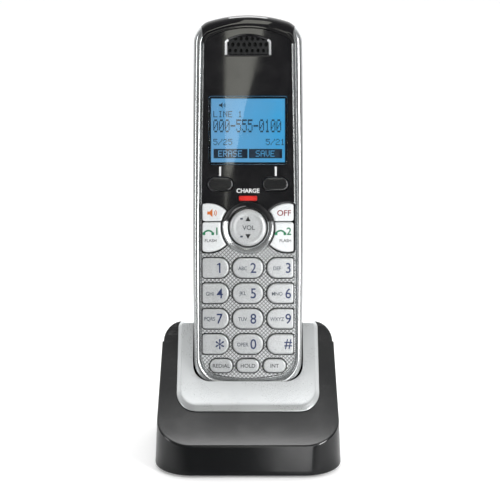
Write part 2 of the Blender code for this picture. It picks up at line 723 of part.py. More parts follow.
def plate_rings():
    half = arc((PLATE_HALF_WIDTH - 9 * MM, PLATE_FRONT + 9 * MM), 9 * MM, -90, 0, 5)
    front, back = PLATE_FRONT + 9 * MM, PLATE_BACK - 3 * MM
    sides = 7
    half += [(PLATE_HALF_WIDTH, front + (back - front) * step / sides) for step in range(1, sides)]
    half += arc((PLATE_HALF_WIDTH - 3 * MM, back), 3 * MM, 0, 90, 3)
    outline = mirrored(half)
    rings = []
    for inset, lift in ((0.4, 0.35), (0.0, 0.75), (0.3, 1.15), (1.2, 1.5), (2.8, 1.7)):
        ring = grow(outline, -inset * MM)
        rings.append([Vector((across, deep, sweep_height(deep) + lift * MM)) for across, deep in ring])
    return rings


def pillar(place, profile, segments=14):
    """Rings of an upright turned piece in the cradle, from millimetres."""
    across, deep = place
    rounds = [(radius * MM, height * MM) for radius, height in profile]
    return turned(rounds, (across * MM, deep * MM, 0), "up", segments)


def cylinder(place, radius, low, high, segments=14):
    return pillar(place, ((radius, low), (radius, high)), segments)


def make_cradle(stand, handset, black, silver, rubber, green, metal):
    well = make_cutter("well", [well_rings()], handset)
    pocket = make_cutter("well_walls", [well_rings(1.8 * MM)], handset)
    bosses = make_cutter("boss_posts", [cylinder(place, 3.2, 3.4, 60) for place in SCREW_PLACES], stand)
    crest = make_cutter("crest", [behind_crest()], stand)
    hollow_crest = make_cutter("hollow_crest", [behind_crest(CRADLE_WALL + 0.5 * MM)], stand)
    hollow = make_cutter("cradle_hollow", [cradle_rings(CRADLE_WALL)], stand, ladder=True)
    apply_cutters(hollow, (hollow_crest, pocket, bosses))
    pilots = make_cutter("boss_holes", [cylinder(place, 1.6, -2, 9.5, 10) for place in SCREW_PLACES], stand)
    slots = []
    for side in (-1, 1):
        outline = rounded_box((side * CONTACT_X, CONTACT_Y), (2.1 * MM, 1.9 * MM), 0.3 * MM, 2)
        slots.append([at_height(outline, -6 * MM), at_height(outline, 1 * MM)])
    spring_slots = make_cutter("spring_slots", slots, handset)
    across, height = INLET_PLACE
    socket = turned(((4.3 * MM, 24 * MM), (4.3 * MM, 36 * MM)), (across, 0, height), "back", 20)
    socket_hole = make_cutter("socket_hole", [socket], stand)
    body = make_solid("cradle_body", [cradle_rings()], black, stand, ladder=True)
    apply_cutters(body, (crest, hollow, well, pilots, spring_slots, socket_hole))

    plate = make_solid("cradle_plate", [plate_rings()], silver, stand, ladder=True)
    apply_cutters(plate, (well,))

    outline = grow(cradle_outline(), -2.9 * MM)
    floor_rings = [at_height(outline, BASE_BOTTOM), at_height(outline, BASE_TOP)]
    floor = make_solid("cradle_base", [floor_rings], black, stand)
    head_wells = [cylinder(place, 3.0, 0, 2.4) for place in SCREW_PLACES]
    shank_holes = [cylinder(place, 1.7, 0, 5, 10) for place in SCREW_PLACES]
    apply_cutters(
        floor,
        (make_cutter("head_wells", head_wells, stand), make_cutter("shank_holes", shank_holes, stand)),
    )
    corners = ("front_left", "front_right", "rear_left", "rear_right")
    foot = ((4.2, 0), (4.6, 0.4), (4.6, 1.15))
    screw = ((2.6, 1.6), (2.6, 2.05), (1.3, 2.06), (1.3, 9.1))
    for corner, foot_place, screw_place in zip(corners, FOOT_PLACES, SCREW_PLACES):
        make_solid("foot_" + corner, [pillar(foot_place, foot, 16)], rubber, stand)
        make_solid("base_screw_" + corner, [pillar(screw_place, screw, 12)], metal, stand)

    board = rounded_box((0, 15 * MM), (14 * MM, 7 * MM), 1 * MM, 2)
    make_solid("cradle_board", [[at_height(board, -9.4 * MM), at_height(board, -8 * MM)]], green, handset)
    for side, name in ((-1, "cradle_contact_left"), (1, "cradle_contact_right")):
        rings = []
        for narrower, height in ((0.0, -7.65), (0.0, -0.6), (0.4, 0.1), (0.8, 0.4)):
            half_size = ((1.6 - narrower) * MM, (1.3 - narrower) * MM)
            outline = rounded_box((side * CONTACT_X, CONTACT_Y), half_size, 0.3 * MM, 2)
            rings.append(at_height(outline, height * MM))
        make_solid(name, [rings], metal, handset)
    across, height = INLET_PLACE
    jack = ((4.6, 17), (4.6, 26.5), (3.8, 26.6), (3.8, 30.6), (2.9, 30.6), (2.9, 22), (1.0, 22), (1.0, 29.6))
    profile = [(radius * MM, distance * MM) for radius, distance in jack]
    make_solid("power_inlet", [turned(profile, (across, 0, height), "back", 20)], black, stand)


def build():
    clear_scene()
    silver = make_material("silver_plastic", (0.62, 0.63, 0.63), 0.32, 0.55)
    black_gloss = make_material("gloss_black", (0.012, 0.012, 0.012), 0.1)
    black = make_material("satin_black", (0.02, 0.02, 0.022), 0.4)
    key_plastic = make_material("key_plastic", (0.55, 0.56, 0.57), 0.35)
    soft_plastic = make_material("dark_key_plastic", (0.05, 0.05, 0.05), 0.3)
    clear = make_material("clear_plastic", (0.6, 0.75, 0.85), 0.05)
    lcd = make_material("lcd_glass", (0.1, 0.4, 0.75), 0.15)
    pale = make_material("diffuser", (0.85, 0.88, 0.9), 0.5)
    red = make_material("red_light_pipe", (0.55, 0.02, 0.02), 0.2)
    grey = make_material("silicone_grey", (0.45, 0.45, 0.45), 0.6)
    green = make_material("circuit_board", (0.02, 0.16, 0.06), 0.45)
    metal = make_material("plated_steel", (0.7, 0.7, 0.68), 0.25, 1.0)
    blue = make_material("battery_wrap", (0.03, 0.12, 0.35), 0.35)
    rubber = make_material("rubber", (0.03, 0.03, 0.03), 0.8)

    stand = make_frame("stand", (0, CENTRING, 0))
    handset = make_frame("handset_frame", (0, SEAT[0], SEAT[1]), -LEAN, stand)
    window, bar = make_front(handset, silver, black_gloss)
    make_keys(handset, key_plastic, soft_plastic)
    make_rear(handset, black)
    make_door(handset, black)
    make_display(handset, window, bar, clear, lcd, red, pale)
    make_sound(handset, black, metal)
    make_electronics(handset, green, grey, metal, blue)
    make_cradle(stand, handset, black, silver, rubber, green, metal)


build()
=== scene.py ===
"""Looks of a cordless telephone standing in its charging cradle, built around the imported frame."""

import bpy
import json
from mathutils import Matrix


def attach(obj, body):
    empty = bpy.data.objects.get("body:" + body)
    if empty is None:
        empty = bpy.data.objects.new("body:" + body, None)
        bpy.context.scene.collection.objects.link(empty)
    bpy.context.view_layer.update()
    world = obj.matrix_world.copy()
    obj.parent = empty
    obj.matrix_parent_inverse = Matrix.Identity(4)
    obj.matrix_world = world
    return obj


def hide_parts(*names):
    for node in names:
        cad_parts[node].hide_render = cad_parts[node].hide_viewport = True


bl_info = {
    "name": "Cordless telephone",
    "version": (1, 0, 0),
    "blender": (4, 5, 0),
    "location": "3D View > Sidebar > Telephone",
    "description": "Builds the visible pieces of a cordless handset and its charging cradle",
    "category": "Object",
}

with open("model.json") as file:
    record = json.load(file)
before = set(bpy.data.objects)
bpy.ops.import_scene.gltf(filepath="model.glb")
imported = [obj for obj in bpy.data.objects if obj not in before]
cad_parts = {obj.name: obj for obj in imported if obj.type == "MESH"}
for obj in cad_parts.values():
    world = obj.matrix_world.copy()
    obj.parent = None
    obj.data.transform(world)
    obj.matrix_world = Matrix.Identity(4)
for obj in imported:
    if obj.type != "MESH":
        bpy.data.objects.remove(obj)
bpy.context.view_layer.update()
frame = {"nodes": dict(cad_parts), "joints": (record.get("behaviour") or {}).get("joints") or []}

import json
import math

import bmesh
import bpy
from bpy.props import FloatProperty, FloatVectorProperty, PointerProperty, StringProperty
from mathutils import Matrix, Vector

MM = 0.001
GAP = 0.35 * MM

# Places that the frame gives.
JOINTS = {joint["name"]: joint for joint in frame["joints"]}
ACROSS = Vector((1, 0, 0))
UP = Vector(JOINTS["handset_lift"]["axis"]).normalized()
DEEP = UP.cross(ACROSS)
LEAN = math.atan2(UP.y, UP.z)
ROCKER_UP = 74.3 * MM  # the rocker's pivot in the handset's own frame
ROCKER_DEPTH = 2.75 * MM
SEAT = Vector(JOINTS["volume_rocker_tilt"]["pos_m"]) - UP * ROCKER_UP - DEEP * ROCKER_DEPTH
HANDSET = Matrix.Translation(SEAT) @ Matrix((ACROSS, DEEP, UP)).transposed().to_4x4()
SEAT_Y = -8.4 * MM  # the handset's origin in the cradle's own frame
CRADLE = Matrix.Translation((0, SEAT.y - SEAT_Y, 0))

# The handset's form.
LENGTH = 170 * MM
THICKNESS = 26 * MM
HALF_WIDTH = 25 * MM
BOTTOM_CORNER = 10 * MM
SHOULDER = 7 * MM
TOP_ARC = 62 * MM
BOTTOM_ARC = 80 * MM
FACE_HALF_WIDTH = 20.95 * MM
FACE_BOTTOM = 6.3 * MM
FACE_TOP = 6.0 * MM
LENS_BOTTOM = 77 * MM
LENS_FRONT = 0.45 * MM
PANEL_FRONT = 0.9 * MM
FACE_BACK = 2.4 * MM
EARPIECE_MIDDLE = 155.2 * MM
PARTING = 12.85 * MM
WALL = 1.6 * MM
TOP_TRIM = 0.1 * MM  # keeps the finer curve of the upper end inside the frame's own

WINDOW_CENTRE = 118 * MM
WINDOW_HALF = (17.55 * MM, 15.25 * MM)

KEY_FRONT = -0.65 * MM
KEY_SKIRT = 2.6 * MM
ROW_PITCH = 11.44 * MM
FIRST_ROW = 56.2 * MM
KEY_HALF_HEIGHT = 4.5 * MM
MIDDLE_HALF = 6.85 * MM
SIDE_INNER = 8.6 * MM
SIDE_OUTER = 20.5 * MM
SMALL_HALF = (5.1 * MM, 3.1 * MM)
SMALL_ROW = 12.1 * MM
SMALL_PITCH = 12 * MM
SOFT_HALF = (5.65 * MM, 2.95 * MM)
SOFT_CENTRE = (12.4 * MM, 93.8 * MM)
ROCKER_HOLE = 9.0 * MM
RING_RADIUS = 12.3 * MM
FUNCTION_CENTRE = 17.7 * MM
FUNCTION_RADIUS = 10.95 * MM
FUNCTION_SPLIT = 2.7 * MM

# The cradle's form, in its own frame.
CRADLE_HALF_WIDTH = 41.5 * MM
CRADLE_FRONT = -40 * MM
CRADLE_BACK = 32 * MM
CRADLE_BOTTOM = 1.0 * MM
FRONT_CORNER = 17 * MM
BACK_CORNER = 8.5 * MM
RIDGE_Y = -37 * MM
RIDGE_HEIGHT = 14 * MM
SWEEP_SLOPE = 0.52
SWEEP_CURVE = 2.7
CREST_Y = 20 * MM
CREST_CORNER = 8.5 * MM
CREST_HALF_WIDTH = 38.6 * MM
BACK_FALL = 0.45
SIDE_DRAFT = 0.05
FRONT_DRAFT = 0.16
PLATE_HALF_WIDTH = 32 * MM
PLATE_FRONT = -20.4 * MM
PLATE_BACK = 19.9 * MM
INLET_PLACE = (20 * MM, 12 * MM)
CRADLE_CORNERS = ("front_left", "front_right", "rear_left", "rear_right")


# Outlines: lists of (across, up) points, anticlockwise.


def arc(centre, radius, start, end, steps):
    points = []
    for step in range(steps + 1):
        angle = math.radians(start + (end - start) * step / steps)
        points.append((centre[0] + radius * math.cos(angle), centre[1] + radius * math.sin(angle)))
    return points


def rounded_polygon(corners, corner_steps=10, side_steps=1):
    """An outline from (across, up, radius) corners given anticlockwise."""
    arcs = []
    for index, (across, up, radius) in enumerate(corners):
        corner = Vector((across, up))
        before = (Vector(corners[index - 1][:2]) - corner).normalized()
        after = (Vector(corners[(index + 1) % len(corners)][:2]) - corner).normalized()
        half = before.angle(after) / 2
        centre = corner + (before + after).normalized() * (radius / math.sin(half))
        start = corner + before * (radius / math.tan(half)) - centre
        angle = math.degrees(math.atan2(start.y, start.x))
        turn = 180 - 2 * math.degrees(half)
        arcs.append(arc(centre, radius, angle, angle + turn, corner_steps))
    outline = []
    for index, points in enumerate(arcs):
        outline += points
        end, start = Vector(points[-1]), Vector(arcs[(index + 1) % len(arcs)][0])
        outline += [tuple(end.lerp(start, step / side_steps)) for step in range(1, side_steps)]
    return outline


def rounded_box(centre, half_size, radius, corner_steps=10):
    (across, up), (half_across, half_up) = centre, half_size
    signs = ((-1, -1), (1, -1), (1, 1), (-1, 1))
    corners = [(across + a * half_across, up + b * half_up, radius) for a, b in signs]
    return rounded_polygon(corners, corner_steps)


def circle(centre, radius, steps=48):
    return arc(centre, radius, 0, 360 * (steps - 1) / steps, steps - 1)


def grow(outline, distance):
    """The outline moved outwards by distance, or inwards where it is negative."""
    moved = []
    for index, point in enumerate(outline):
        here = Vector(point)
        arriving = (here - Vector(outline[index - 1])).normalized()
        leaving = (Vector(outline[(index + 1) % len(outline)]) - here).normalized()
        first, second = Vector((arriving.y, -arriving.x)), Vector((leaving.y, -leaving.x))
        moved.append(tuple(here + (first + second) * (distance / (1 + first.dot(second)))))
    return moved


def drawn_in(outline, distance):
    """The outline moved inwards, with the points that would cross over at tight corners drawn together."""
    ring = [Vector(point) for point in grow(outline, -distance)]
    sides = [(Vector(here), Vector(after)) for here, after in zip(outline, outline[1:] + outline[:1])]

    def gap(spot, start, end):
        along = end - start
        share = min(1.0, max(0.0, (spot - start).dot(along) / max(along.length_squared, 1e-18)))
        return (spot - start - along * share).length

    clear = [index for index, spot in enumerate(ring)
             if min(gap(spot, *side) for side in sides) > 0.95 * distance]
    count = len(ring)
    return [tuple(ring[min(clear, key=lambda other: min((other - index) % count, (index - other) % count))])
            for index in range(count)]


def clip(outline, height, keep_above):
    """The part of the outline above or below a level line."""
    kept = []
    for here, after in zip(outline, outline[1:] + outline[:1]):
        here_kept = (here[1] >= height) == keep_above
        if here_kept:
            kept.append(here)
        if here_kept != ((after[1] >= height) == keep_above):
            share = (height - here[1]) / (after[1] - here[1])
            kept.append((here[0] + (after[0] - here[0]) * share, height))
    return kept


def soften(outline, radius, sharp=25):
    """The outline with its sharp corners rounded."""
    made = []
    for index, point in enumerate(outline):
        here = Vector(point)
        before = Vector(outline[index - 1]) - here
        after = Vector(outline[(index + 1) % len(outline)]) - here
        if math.degrees(math.pi - before.angle(after)) < sharp:
            made.append(point)
            continue
        start = here + before.normalized() * min(radius, before.length * 0.48)
        end = here + after.normalized() * min(radius, after.length * 0.48)
        for step in range(6):
            share = step / 5
            made.append(tuple(start.lerp(here, share).lerp(here.lerp(end, share), share)))
    return made


def mirror(outline):
    return [(-across, up) for across, up in reversed(outline)]


def at_depth(outline, depth):
    return [Vector((across, depth, up)) for across, up in outline]


def at_height(outline, height):
    return [Vector((across, deep, height)) for across, deep in outline]


def smooth_curve(points, steps):
    """Points on a smooth curve through the given pairs."""
    padded = [points[0], *points, points[-1]]
    made = []
    for index in range(len(points) - 1):
        a, b, c, d = (Vector(p) for p in padded[index : index + 4])
        for step in range(steps):
            t = step / steps
            made.append(0.5 * (2 * b + (c - a) * t + (2 * a - 5 * b + 4 * c - d) * t * t
                               + (3 * b - a - 3 * c + d) * t**3))
    made.append(Vector(points[-1]))
    return made


# Meshes


def skin(rings, caps="flat", around=False):
    """A mesh through rings of points, closed round, or capped "flat" or with a "ladder" of strips."""
    mesh = bmesh.new()
    rows = [[mesh.verts.new(point) for point in ring] for ring in rings]
    count = len(rows[0])
    pairs = list(zip(rows, rows[1:])) + ([(rows[-1], rows[0])] if around else [])
    for lower, upper in pairs:
        for index in range(count):
            after = (index + 1) % count
            mesh.faces.new((lower[index], lower[after], upper[after], upper[index]))
    for row in (rows[0], rows[-1]):
        if around:
            continue
        if caps == "flat":
            mesh.faces.new(row)
            continue
        for index in range(count // 2 - 1):
            mesh.faces.new((row[index], row[index + 1], row[-2 - index], row[-1 - index]))
    bmesh.ops.recalc_face_normals(mesh, faces=mesh.faces)
    return as_mesh(mesh)


def slab(outline, front, back):
    """The outline as a solid between two depths behind the handset's front."""
    return skin([at_depth(outline, front), at_depth(outline, back)])


def upright(outline, low, high):
    """The outline as a solid between two heights."""
    return skin([at_height(outline, low), at_height(outline, high)])


def stepped(outline, levels, around=False):
    """A solid through the outline moved outwards and set behind the front by pairs of millimetres."""
    return skin([at_depth(grow(outline, out * MM), depth * MM) for out, depth in levels], around=around)


def as_mesh(mesh, data=None):
    data = data or bpy.data.meshes.new("shape")
    mesh.to_mesh(data)
    mesh.free()
    return data


def as_object(name, data):
    data.name = name
    made = bpy.data.objects.new(name, data)
    bpy.context.scene.collection.objects.link(made)
    return made


def baked(holder):
    """The evaluated mesh of an object, which is then removed."""
    bpy.context.view_layer.update()
    evaluated = holder.evaluated_get(bpy.context.evaluated_depsgraph_get())
    data = bpy.data.meshes.new_from_object(evaluated)
    bpy.data.objects.remove(holder)
    return data


def merged(data, distance=1e-6):
    mesh = bmesh.new()
    mesh.from_mesh(data)
    bmesh.ops.remove_doubles(mesh, verts=mesh.verts, dist=distance)
    bmesh.ops.dissolve_degenerate(mesh, edges=mesh.edges, dist=distance)
    bmesh.ops.recalc_face_normals(mesh, faces=mesh.faces)
    return as_mesh(mesh, data)


def cut(data, cutters, operation="DIFFERENCE"):
    """The mesh with other meshes cut out of it."""
    holder = as_object("cut", data)
    helpers = []
    for cutter in cutters:
        helper = as_object("cutter", cutter)
        helpers.append(helper)
        modifier = holder.modifiers.new("cut", "BOOLEAN")
        modifier.operation = operation
        modifier.object = helper
    result = baked(holder)
    for helper in helpers:
        bpy.data.objects.remove(helper)
    return result


def rounded_edges(data, width, angle=35, segments=3):
    """The mesh with its sharp edges rounded."""
    holder = as_object("round", merged(data, 2e-6))
    modifier = holder.modifiers.new("round", "BEVEL")
    modifier.width = width
    modifier.segments = segments
    modifier.limit_method = "ANGLE"
    modifier.angle_limit = math.radians(angle)
    return baked(holder)


def joined(parts, slots=None):
    """One mesh from several, with a material index for each unless all take the first."""
    whole = bmesh.new()
    for data, slot in zip(parts, slots or [0] * len(parts)):
        before = len(whole.faces)
        whole.from_mesh(data)
        whole.faces.ensure_lookup_table()
        for face in whole.faces[before:]:
            face.material_index = slot
    return as_mesh(whole)


def add_piece(name, data, body, materials, replaces=(), sharp=40):
    """Puts a mesh made in the handset's or the cradle's own frame in its place, riding on its body."""
    data.transform(CRADLE if body == "cradle" else HANDSET)
    chosen = [face.material_index for face in data.polygons]
    data.materials.clear()
    for material in materials:
        data.materials.append(bpy.data.materials[material])
    data.polygons.foreach_set("material_index", chosen)
    data.shade_smooth()
    data.set_sharp_from_angle(angle=math.radians(sharp))
    holder = as_object("weighted", data)
    modifier = holder.modifiers.new("weighted", "WEIGHTED_NORMAL")
    modifier.keep_sharp = True
    modifier.weight = 100
    made = as_object(name, baked(holder))
    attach(made, body)
    if replaces:
        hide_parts(*replaces)
    return made


# The handset's outlines

def handset_outline(inset=0.0, face_share=0.0, corner_steps=12, side_steps=20):
    """The handset seen from the front, moved in by inset, and then part of the way to the face's edge."""
    bottom = inset + FACE_BOTTOM * face_share
    top = LENGTH - TOP_TRIM - inset - FACE_TOP * face_share
    bottom_radius = BOTTOM_CORNER - 0.6 * inset - 2.5 * MM * face_share
    top_radius = SHOULDER - 0.6 * inset - 4.0 * MM * face_share
    corners = [
        (-HALF_WIDTH, bottom, bottom_radius),
        (HALF_WIDTH, bottom, bottom_radius),
        (HALF_WIDTH, top, top_radius),
        (-HALF_WIDTH, top, top_radius),
    ]
    outline = []
    for across, up in rounded_polygon(corners, corner_steps, side_steps):
        share = up / (LENGTH / 2) - 1
        outer = HALF_WIDTH - (1.0 if share < 0 else 0.7) * MM * share * share - inset
        above_lens = min(1, max(0, (up - LENS_BOTTOM) / (LENGTH - LENS_BOTTOM)))
        face = FACE_HALF_WIDTH - 1.45 * MM * above_lens
        half_width = outer + (face - outer) * face_share
        high = min(1, max(0, (up - 0.6 * LENGTH) / (0.3 * LENGTH)))
        low = min(1, max(0, 1 - up / (0.3 * LENGTH)))
        up += across * across / 2 * (low / BOTTOM_ARC - high / TOP_ARC)
        outline.append((across * half_width / HALF_WIDTH, up))
    return outline


def function_outline(side, low, high):
    """A round key cut off by the face's edge and the rocker's ring; low and high count from its centre."""
    top_angle = math.degrees(math.acos((SIDE_OUTER - FUNCTION_CENTRE) / FUNCTION_RADIUS))
    meet = (RING_RADIUS**2 - FUNCTION_RADIUS**2 + FUNCTION_CENTRE**2) / (2 * FUNCTION_CENTRE)
    ring_angle = math.degrees(math.acos(meet / RING_RADIUS))
    meet_angle = math.degrees(math.acos((meet - FUNCTION_CENTRE) / FUNCTION_RADIUS))
    ring_low = -ring_angle if low is None else math.degrees(math.asin(low / RING_RADIUS))
    ring_high = ring_angle if high is None else math.degrees(math.asin(high / RING_RADIUS))
    outline = arc((0, 0), RING_RADIUS, ring_high, ring_low, 12)
    if low is None:
        outline += arc((FUNCTION_CENTRE, 0), FUNCTION_RADIUS, -meet_angle, -top_angle, 14)[1:]
    else:
        outline.append((SIDE_OUTER, low))
    if high is None:
        outline += arc((FUNCTION_CENTRE, 0), FUNCTION_RADIUS, top_angle, meet_angle, 14)[:-1]
    else:
        outline.append((SIDE_OUTER, high))
    outline = [(across, up + ROCKER_UP) for across, up in outline]
    return mirror(outline) if side < 0 else outline


def side_outline(side, up):
    low, high = up - KEY_HALF_HEIGHT, up + KEY_HALF_HEIGHT
    outline = rounded_polygon(
        [
            (SIDE_INNER, low, 4.2 * MM),
            (SIDE_OUTER, low, 1.2 * MM),
            (SIDE_OUTER, high, 1.2 * MM),
            (SIDE_INNER, high, 4.2 * MM),
        ]
    )
    return mirror(outline) if side < 0 else outline


DIAL = (("1", "2", "3"), ("4", "5", "6"), ("7", "8", "9"), ("star", "0", "hash"))
SMALL_KEYS = ("redial", "hold", "intercom")


def dial_outlines():
    keys = {}
    for row, names in enumerate(DIAL):
        up = FIRST_ROW - row * ROW_PITCH
        keys["key_" + names[0]] = side_outline(-1, up)
        keys["key_" + names[1]] = rounded_box((0, up), (MIDDLE_HALF, KEY_HALF_HEIGHT), 4.2 * MM)
        keys["key_" + names[2]] = side_outline(1, up)
    for column, name in enumerate(SMALL_KEYS):
        keys["key_" + name] = rounded_box(((column - 1) * SMALL_PITCH, SMALL_ROW), SMALL_HALF, 2.9 * MM)
    return keys


def function_outlines():
    keys = {}
    for side, upper, lower in ((-1, "speaker", "line_1"), (1, "off", "line_2")):
        keys["key_" + upper] = soften(function_outline(side, FUNCTION_SPLIT + GAP / 2, None), 1.3 * MM)
        keys["key_" + lower] = soften(function_outline(side, None, FUNCTION_SPLIT - GAP / 2), 1.3 * MM)
    return keys


def soft_outlines():
    across, up = SOFT_CENTRE
    sides = ((-1, "soft_key_left"), (1, "soft_key_right"))
    return {name: rounded_box((side * across, up), SOFT_HALF, 2.8 * MM) for side, name in sides}


# Shader nodes


def put(tree, socket, value):
    if isinstance(value, bpy.types.NodeSocket):
        tree.links.new(value, socket)
    elif socket.type == "RGBA" and len(value) == 3:
        socket.default_value = (*value, 1)
    else:
        socket.default_value = value


def add_node(tree, kind, inputs=None, **settings):
    made = tree.nodes.new(kind)
    for name, value in settings.items():
        setattr(made, name, value)
    for name, value in (inputs or {}).items():
        put(tree, made.inputs[name], value)
    return made


def calculate(tree, operation, *values, clamp=False):
    made = add_node(tree, "ShaderNodeMath", operation=operation, use_clamp=clamp)
    for socket, value in zip(made.inputs, values):
        put(tree, socket, value)
    return made.outputs[0]


def blend_colours(tree, share, first, second, mode="MIX"):
    made = add_node(tree, "ShaderNodeMix", data_type="RGBA", blend_type=mode)
    for index, value in ((0, share), (6, first), (7, second)):
        put(tree, made.inputs[index], value)
    return made.outputs[2]


def remap(tree, value, low, high, new_low=0.0, new_high=1.0):
    made = add_node(tree, "ShaderNodeMapRange")
    for index, number in enumerate((value, low, high, new_low, new_high)):
        put(tree, made.inputs[index], number)
    return made.outputs[0]


def start_group(name, inputs, outputs):
    """A new node group with named sockets, its input sockets and its output sockets."""
    tree = bpy.data.node_groups.new(name, "ShaderNodeTree")
    for label, kind, default in inputs:
        socket = tree.interface.new_socket(label, in_out="INPUT", socket_type="NodeSocket" + kind)
        if default is not None:
            socket.default_value = default
    for label, kind in outputs:
        tree.interface.new_socket(label, in_out="OUTPUT", socket_type="NodeSocket" + kind)
    return tree, tree.nodes.new("NodeGroupInput").outputs, tree.nodes.new("NodeGroupOutput").inputs


def noise(tree, place, scale, detail=2.0, roughness=0.5):
    inputs = {"Vector": place, "Scale": scale, "Detail": detail, "Roughness": roughness}
    return add_node(tree, "ShaderNodeTexNoise", inputs).outputs["Fac"]


def make_grain_group():
    """Fine moulding grain and the slow drift of shade over a moulding."""
    inputs = [("Vector", "Vector", None), ("Grains per metre", "Float", 2500.0),
              ("Drift per metre", "Float", 40.0)]
    tree, given, out = start_group("Moulding grain", inputs, [("Height", "Float"), ("Drift", "Float")])
    fine = noise(tree, given["Vector"], given["Grains per metre"], 3.0, 0.6)
    cells = add_node(tree, "ShaderNodeTexVoronoi", {"Vector": given["Vector"]}, feature="SMOOTH_F1")
    put(tree, cells.inputs["Scale"], given["Grains per metre"])
    height = calculate(tree, "MULTIPLY_ADD", cells.outputs["Distance"], 0.6, fine)
    put(tree, out["Height"], height)
    drift = noise(tree, given["Vector"], given["Drift per metre"], 2.0)
    put(tree, out["Drift"], remap(tree, drift, 0.3, 0.7))


def make_handling_group():
    """Smudges and hairline scratches left by hands, as a roughness between Clean and Handled."""
    inputs = [("Vector", "Vector", None), ("Clean", "Float", 0.1), ("Handled", "Float", 0.3),
              ("Scratches", "Float", 0.3)]
    tree, given, out = start_group("Handling marks", inputs, [("Roughness", "Float")])
    smudge = remap(tree, noise(tree, given["Vector"], 55.0, 5.0, 0.62), 0.5, 0.72)
    marks = None
    for turn, stretch in ((0.4, (3200.0, 1500.0, 90.0)), (-0.7, (2300.0, 1500.0, 60.0))):
        mapping = {"Vector": given["Vector"], "Rotation": (0.0, turn, turn / 3), "Scale": stretch}
        lines = noise(tree, add_node(tree, "ShaderNodeMapping", mapping).outputs[0], 1.0, 1.0)
        found = remap(tree, lines, 0.7, 0.76)
        marks = found if marks is None else calculate(tree, "MAXIMUM", marks, found)
    scratch = calculate(tree, "MULTIPLY", marks, given["Scratches"])
    worn = calculate(tree, "MAXIMUM", calculate(tree, "MULTIPLY", smudge, 0.7), scratch)
    put(tree, out["Roughness"], remap(tree, worn, 0.0, 1.0, given["Clean"], given["Handled"]))


def make_edge_wear_and_highlight_group():
    """A mask of convex edges, broken up by noise, that lightens them: partly rubbed wear, partly a painted
    highlight along the edges.
    """
    inputs = [("Vector", "Vector", None), ("Amount", "Float", 0.5), ("Patches per metre", "Float", 260.0)]
    tree, given, out = start_group("Edge wear", inputs, [("Mask", "Float")])
    pointiness = tree.nodes.new("ShaderNodeNewGeometry").outputs["Pointiness"]
    edge = remap(tree, pointiness, 0.515, 0.6)
    patches = remap(tree, noise(tree, given["Vector"], given["Patches per metre"], 4.0, 0.65), 0.42, 0.66)
    mask = calculate(tree, "MULTIPLY", edge, patches)
    put(tree, out["Mask"], calculate(tree, "MULTIPLY", mask, given["Amount"], clamp=True))


def make_dust_group():
    """A mask of fine dust that settles on faces turned upwards."""
    inputs = [("Vector", "Vector", None), ("Amount", "Float", 0.1)]
    tree, given, out = start_group("Settled dust", inputs, [("Mask", "Float")])
    normal = tree.nodes.new("ShaderNodeTexCoord").outputs["Normal"]
    facing = add_node(tree, "ShaderNodeSeparateXYZ", {0: normal}).outputs["Z"]
    specks = remap(tree, noise(tree, given["Vector"], 1800.0, 2.0, 0.7), 0.58, 0.74)
    film = remap(tree, noise(tree, given["Vector"], 60.0, 3.0), 0.35, 0.75)
    cover = calculate(tree, "MULTIPLY_ADD", specks, 0.6, calculate(tree, "MULTIPLY", film, 0.4))
    upward = remap(tree, facing, 0.2, 0.9)
    mask = calculate(tree, "MULTIPLY", cover, upward)
    put(tree, out["Mask"], calculate(tree, "MULTIPLY", mask, given["Amount"], clamp=True))


def make_flake_group():
    """Metal flakes in a lacquer, as a value that is random from flake to flake."""
    inputs = [("Vector", "Vector", None), ("Flake size", "Float", 0.0001), ("Contrast", "Float", 0.2)]
    tree, given, out = start_group("Metal flake", inputs, [("Shade", "Float"), ("Roughness", "Float")])
    cells = add_node(tree, "ShaderNodeTexVoronoi", {"Vector": given["Vector"]})
    put(tree, cells.inputs["Scale"], calculate(tree, "DIVIDE", 1.0, given["Flake size"]))
    flake = add_node(tree, "ShaderNodeSeparateColor", {0: cells.outputs["Color"]})
    centred = calculate(tree, "SUBTRACT", flake.outputs[0], 0.5)
    put(tree, out["Shade"], calculate(tree, "MULTIPLY_ADD", centred, given["Contrast"], 0.5))
    put(tree, out["Roughness"], calculate(tree, "MULTIPLY", flake.outputs[1], given["Contrast"]))


def make_ridges_group():
    """Two sets of crossed ridges along the vector's first and last axes."""
    inputs = [("Vector", "Vector", None), ("Pitch", "Float", 0.001)]
    tree, given, out = start_group("Crossed ridges", inputs, [("Height", "Float"), ("Line", "Float")])
    parts = add_node(tree, "ShaderNodeSeparateXYZ", {0: given["Vector"]})
    heights = []
    for axis in ("X", "Z"):
        count = calculate(tree, "DIVIDE", parts.outputs[axis], given["Pitch"])
        heights.append(calculate(tree, "PINGPONG", count, 0.5))
    height = calculate(tree, "MULTIPLY", calculate(tree, "MINIMUM", *heights), 2.0)
    put(tree, out["Height"], remap(tree, height, 0.0, 0.5))
    put(tree, out["Line"], remap(tree, height, 0.0, 0.5, 1.0, 0.0))


def use_group(tree, name, **inputs):
    """The outputs of a node group placed in a material; underscores in input names stand for spaces."""
    made = add_node(tree, "ShaderNodeGroup", node_tree=bpy.data.node_groups[name])
    for label, value in inputs.items():
        put(tree, made.inputs[label.replace("_", " ")], value)
    return made.outputs


def scaled(colour, share):
    return tuple(min(1.0, value * share) for value in colour)


def start_material(name):
    material = bpy.data.materials.new(name)
    material.use_nodes = True
    tree = material.node_tree
    return tree, tree.nodes["Principled BSDF"], tree.nodes.new("ShaderNodeTexCoord").outputs["Object"]


def bump(tree, height, depth, normal=None):
    inputs = {"Height": height, "Distance": depth, "Strength": 1.0}
    if normal:
        inputs["Normal"] = normal
    return add_node(tree, "ShaderNodeBump", inputs).outputs["Normal"]


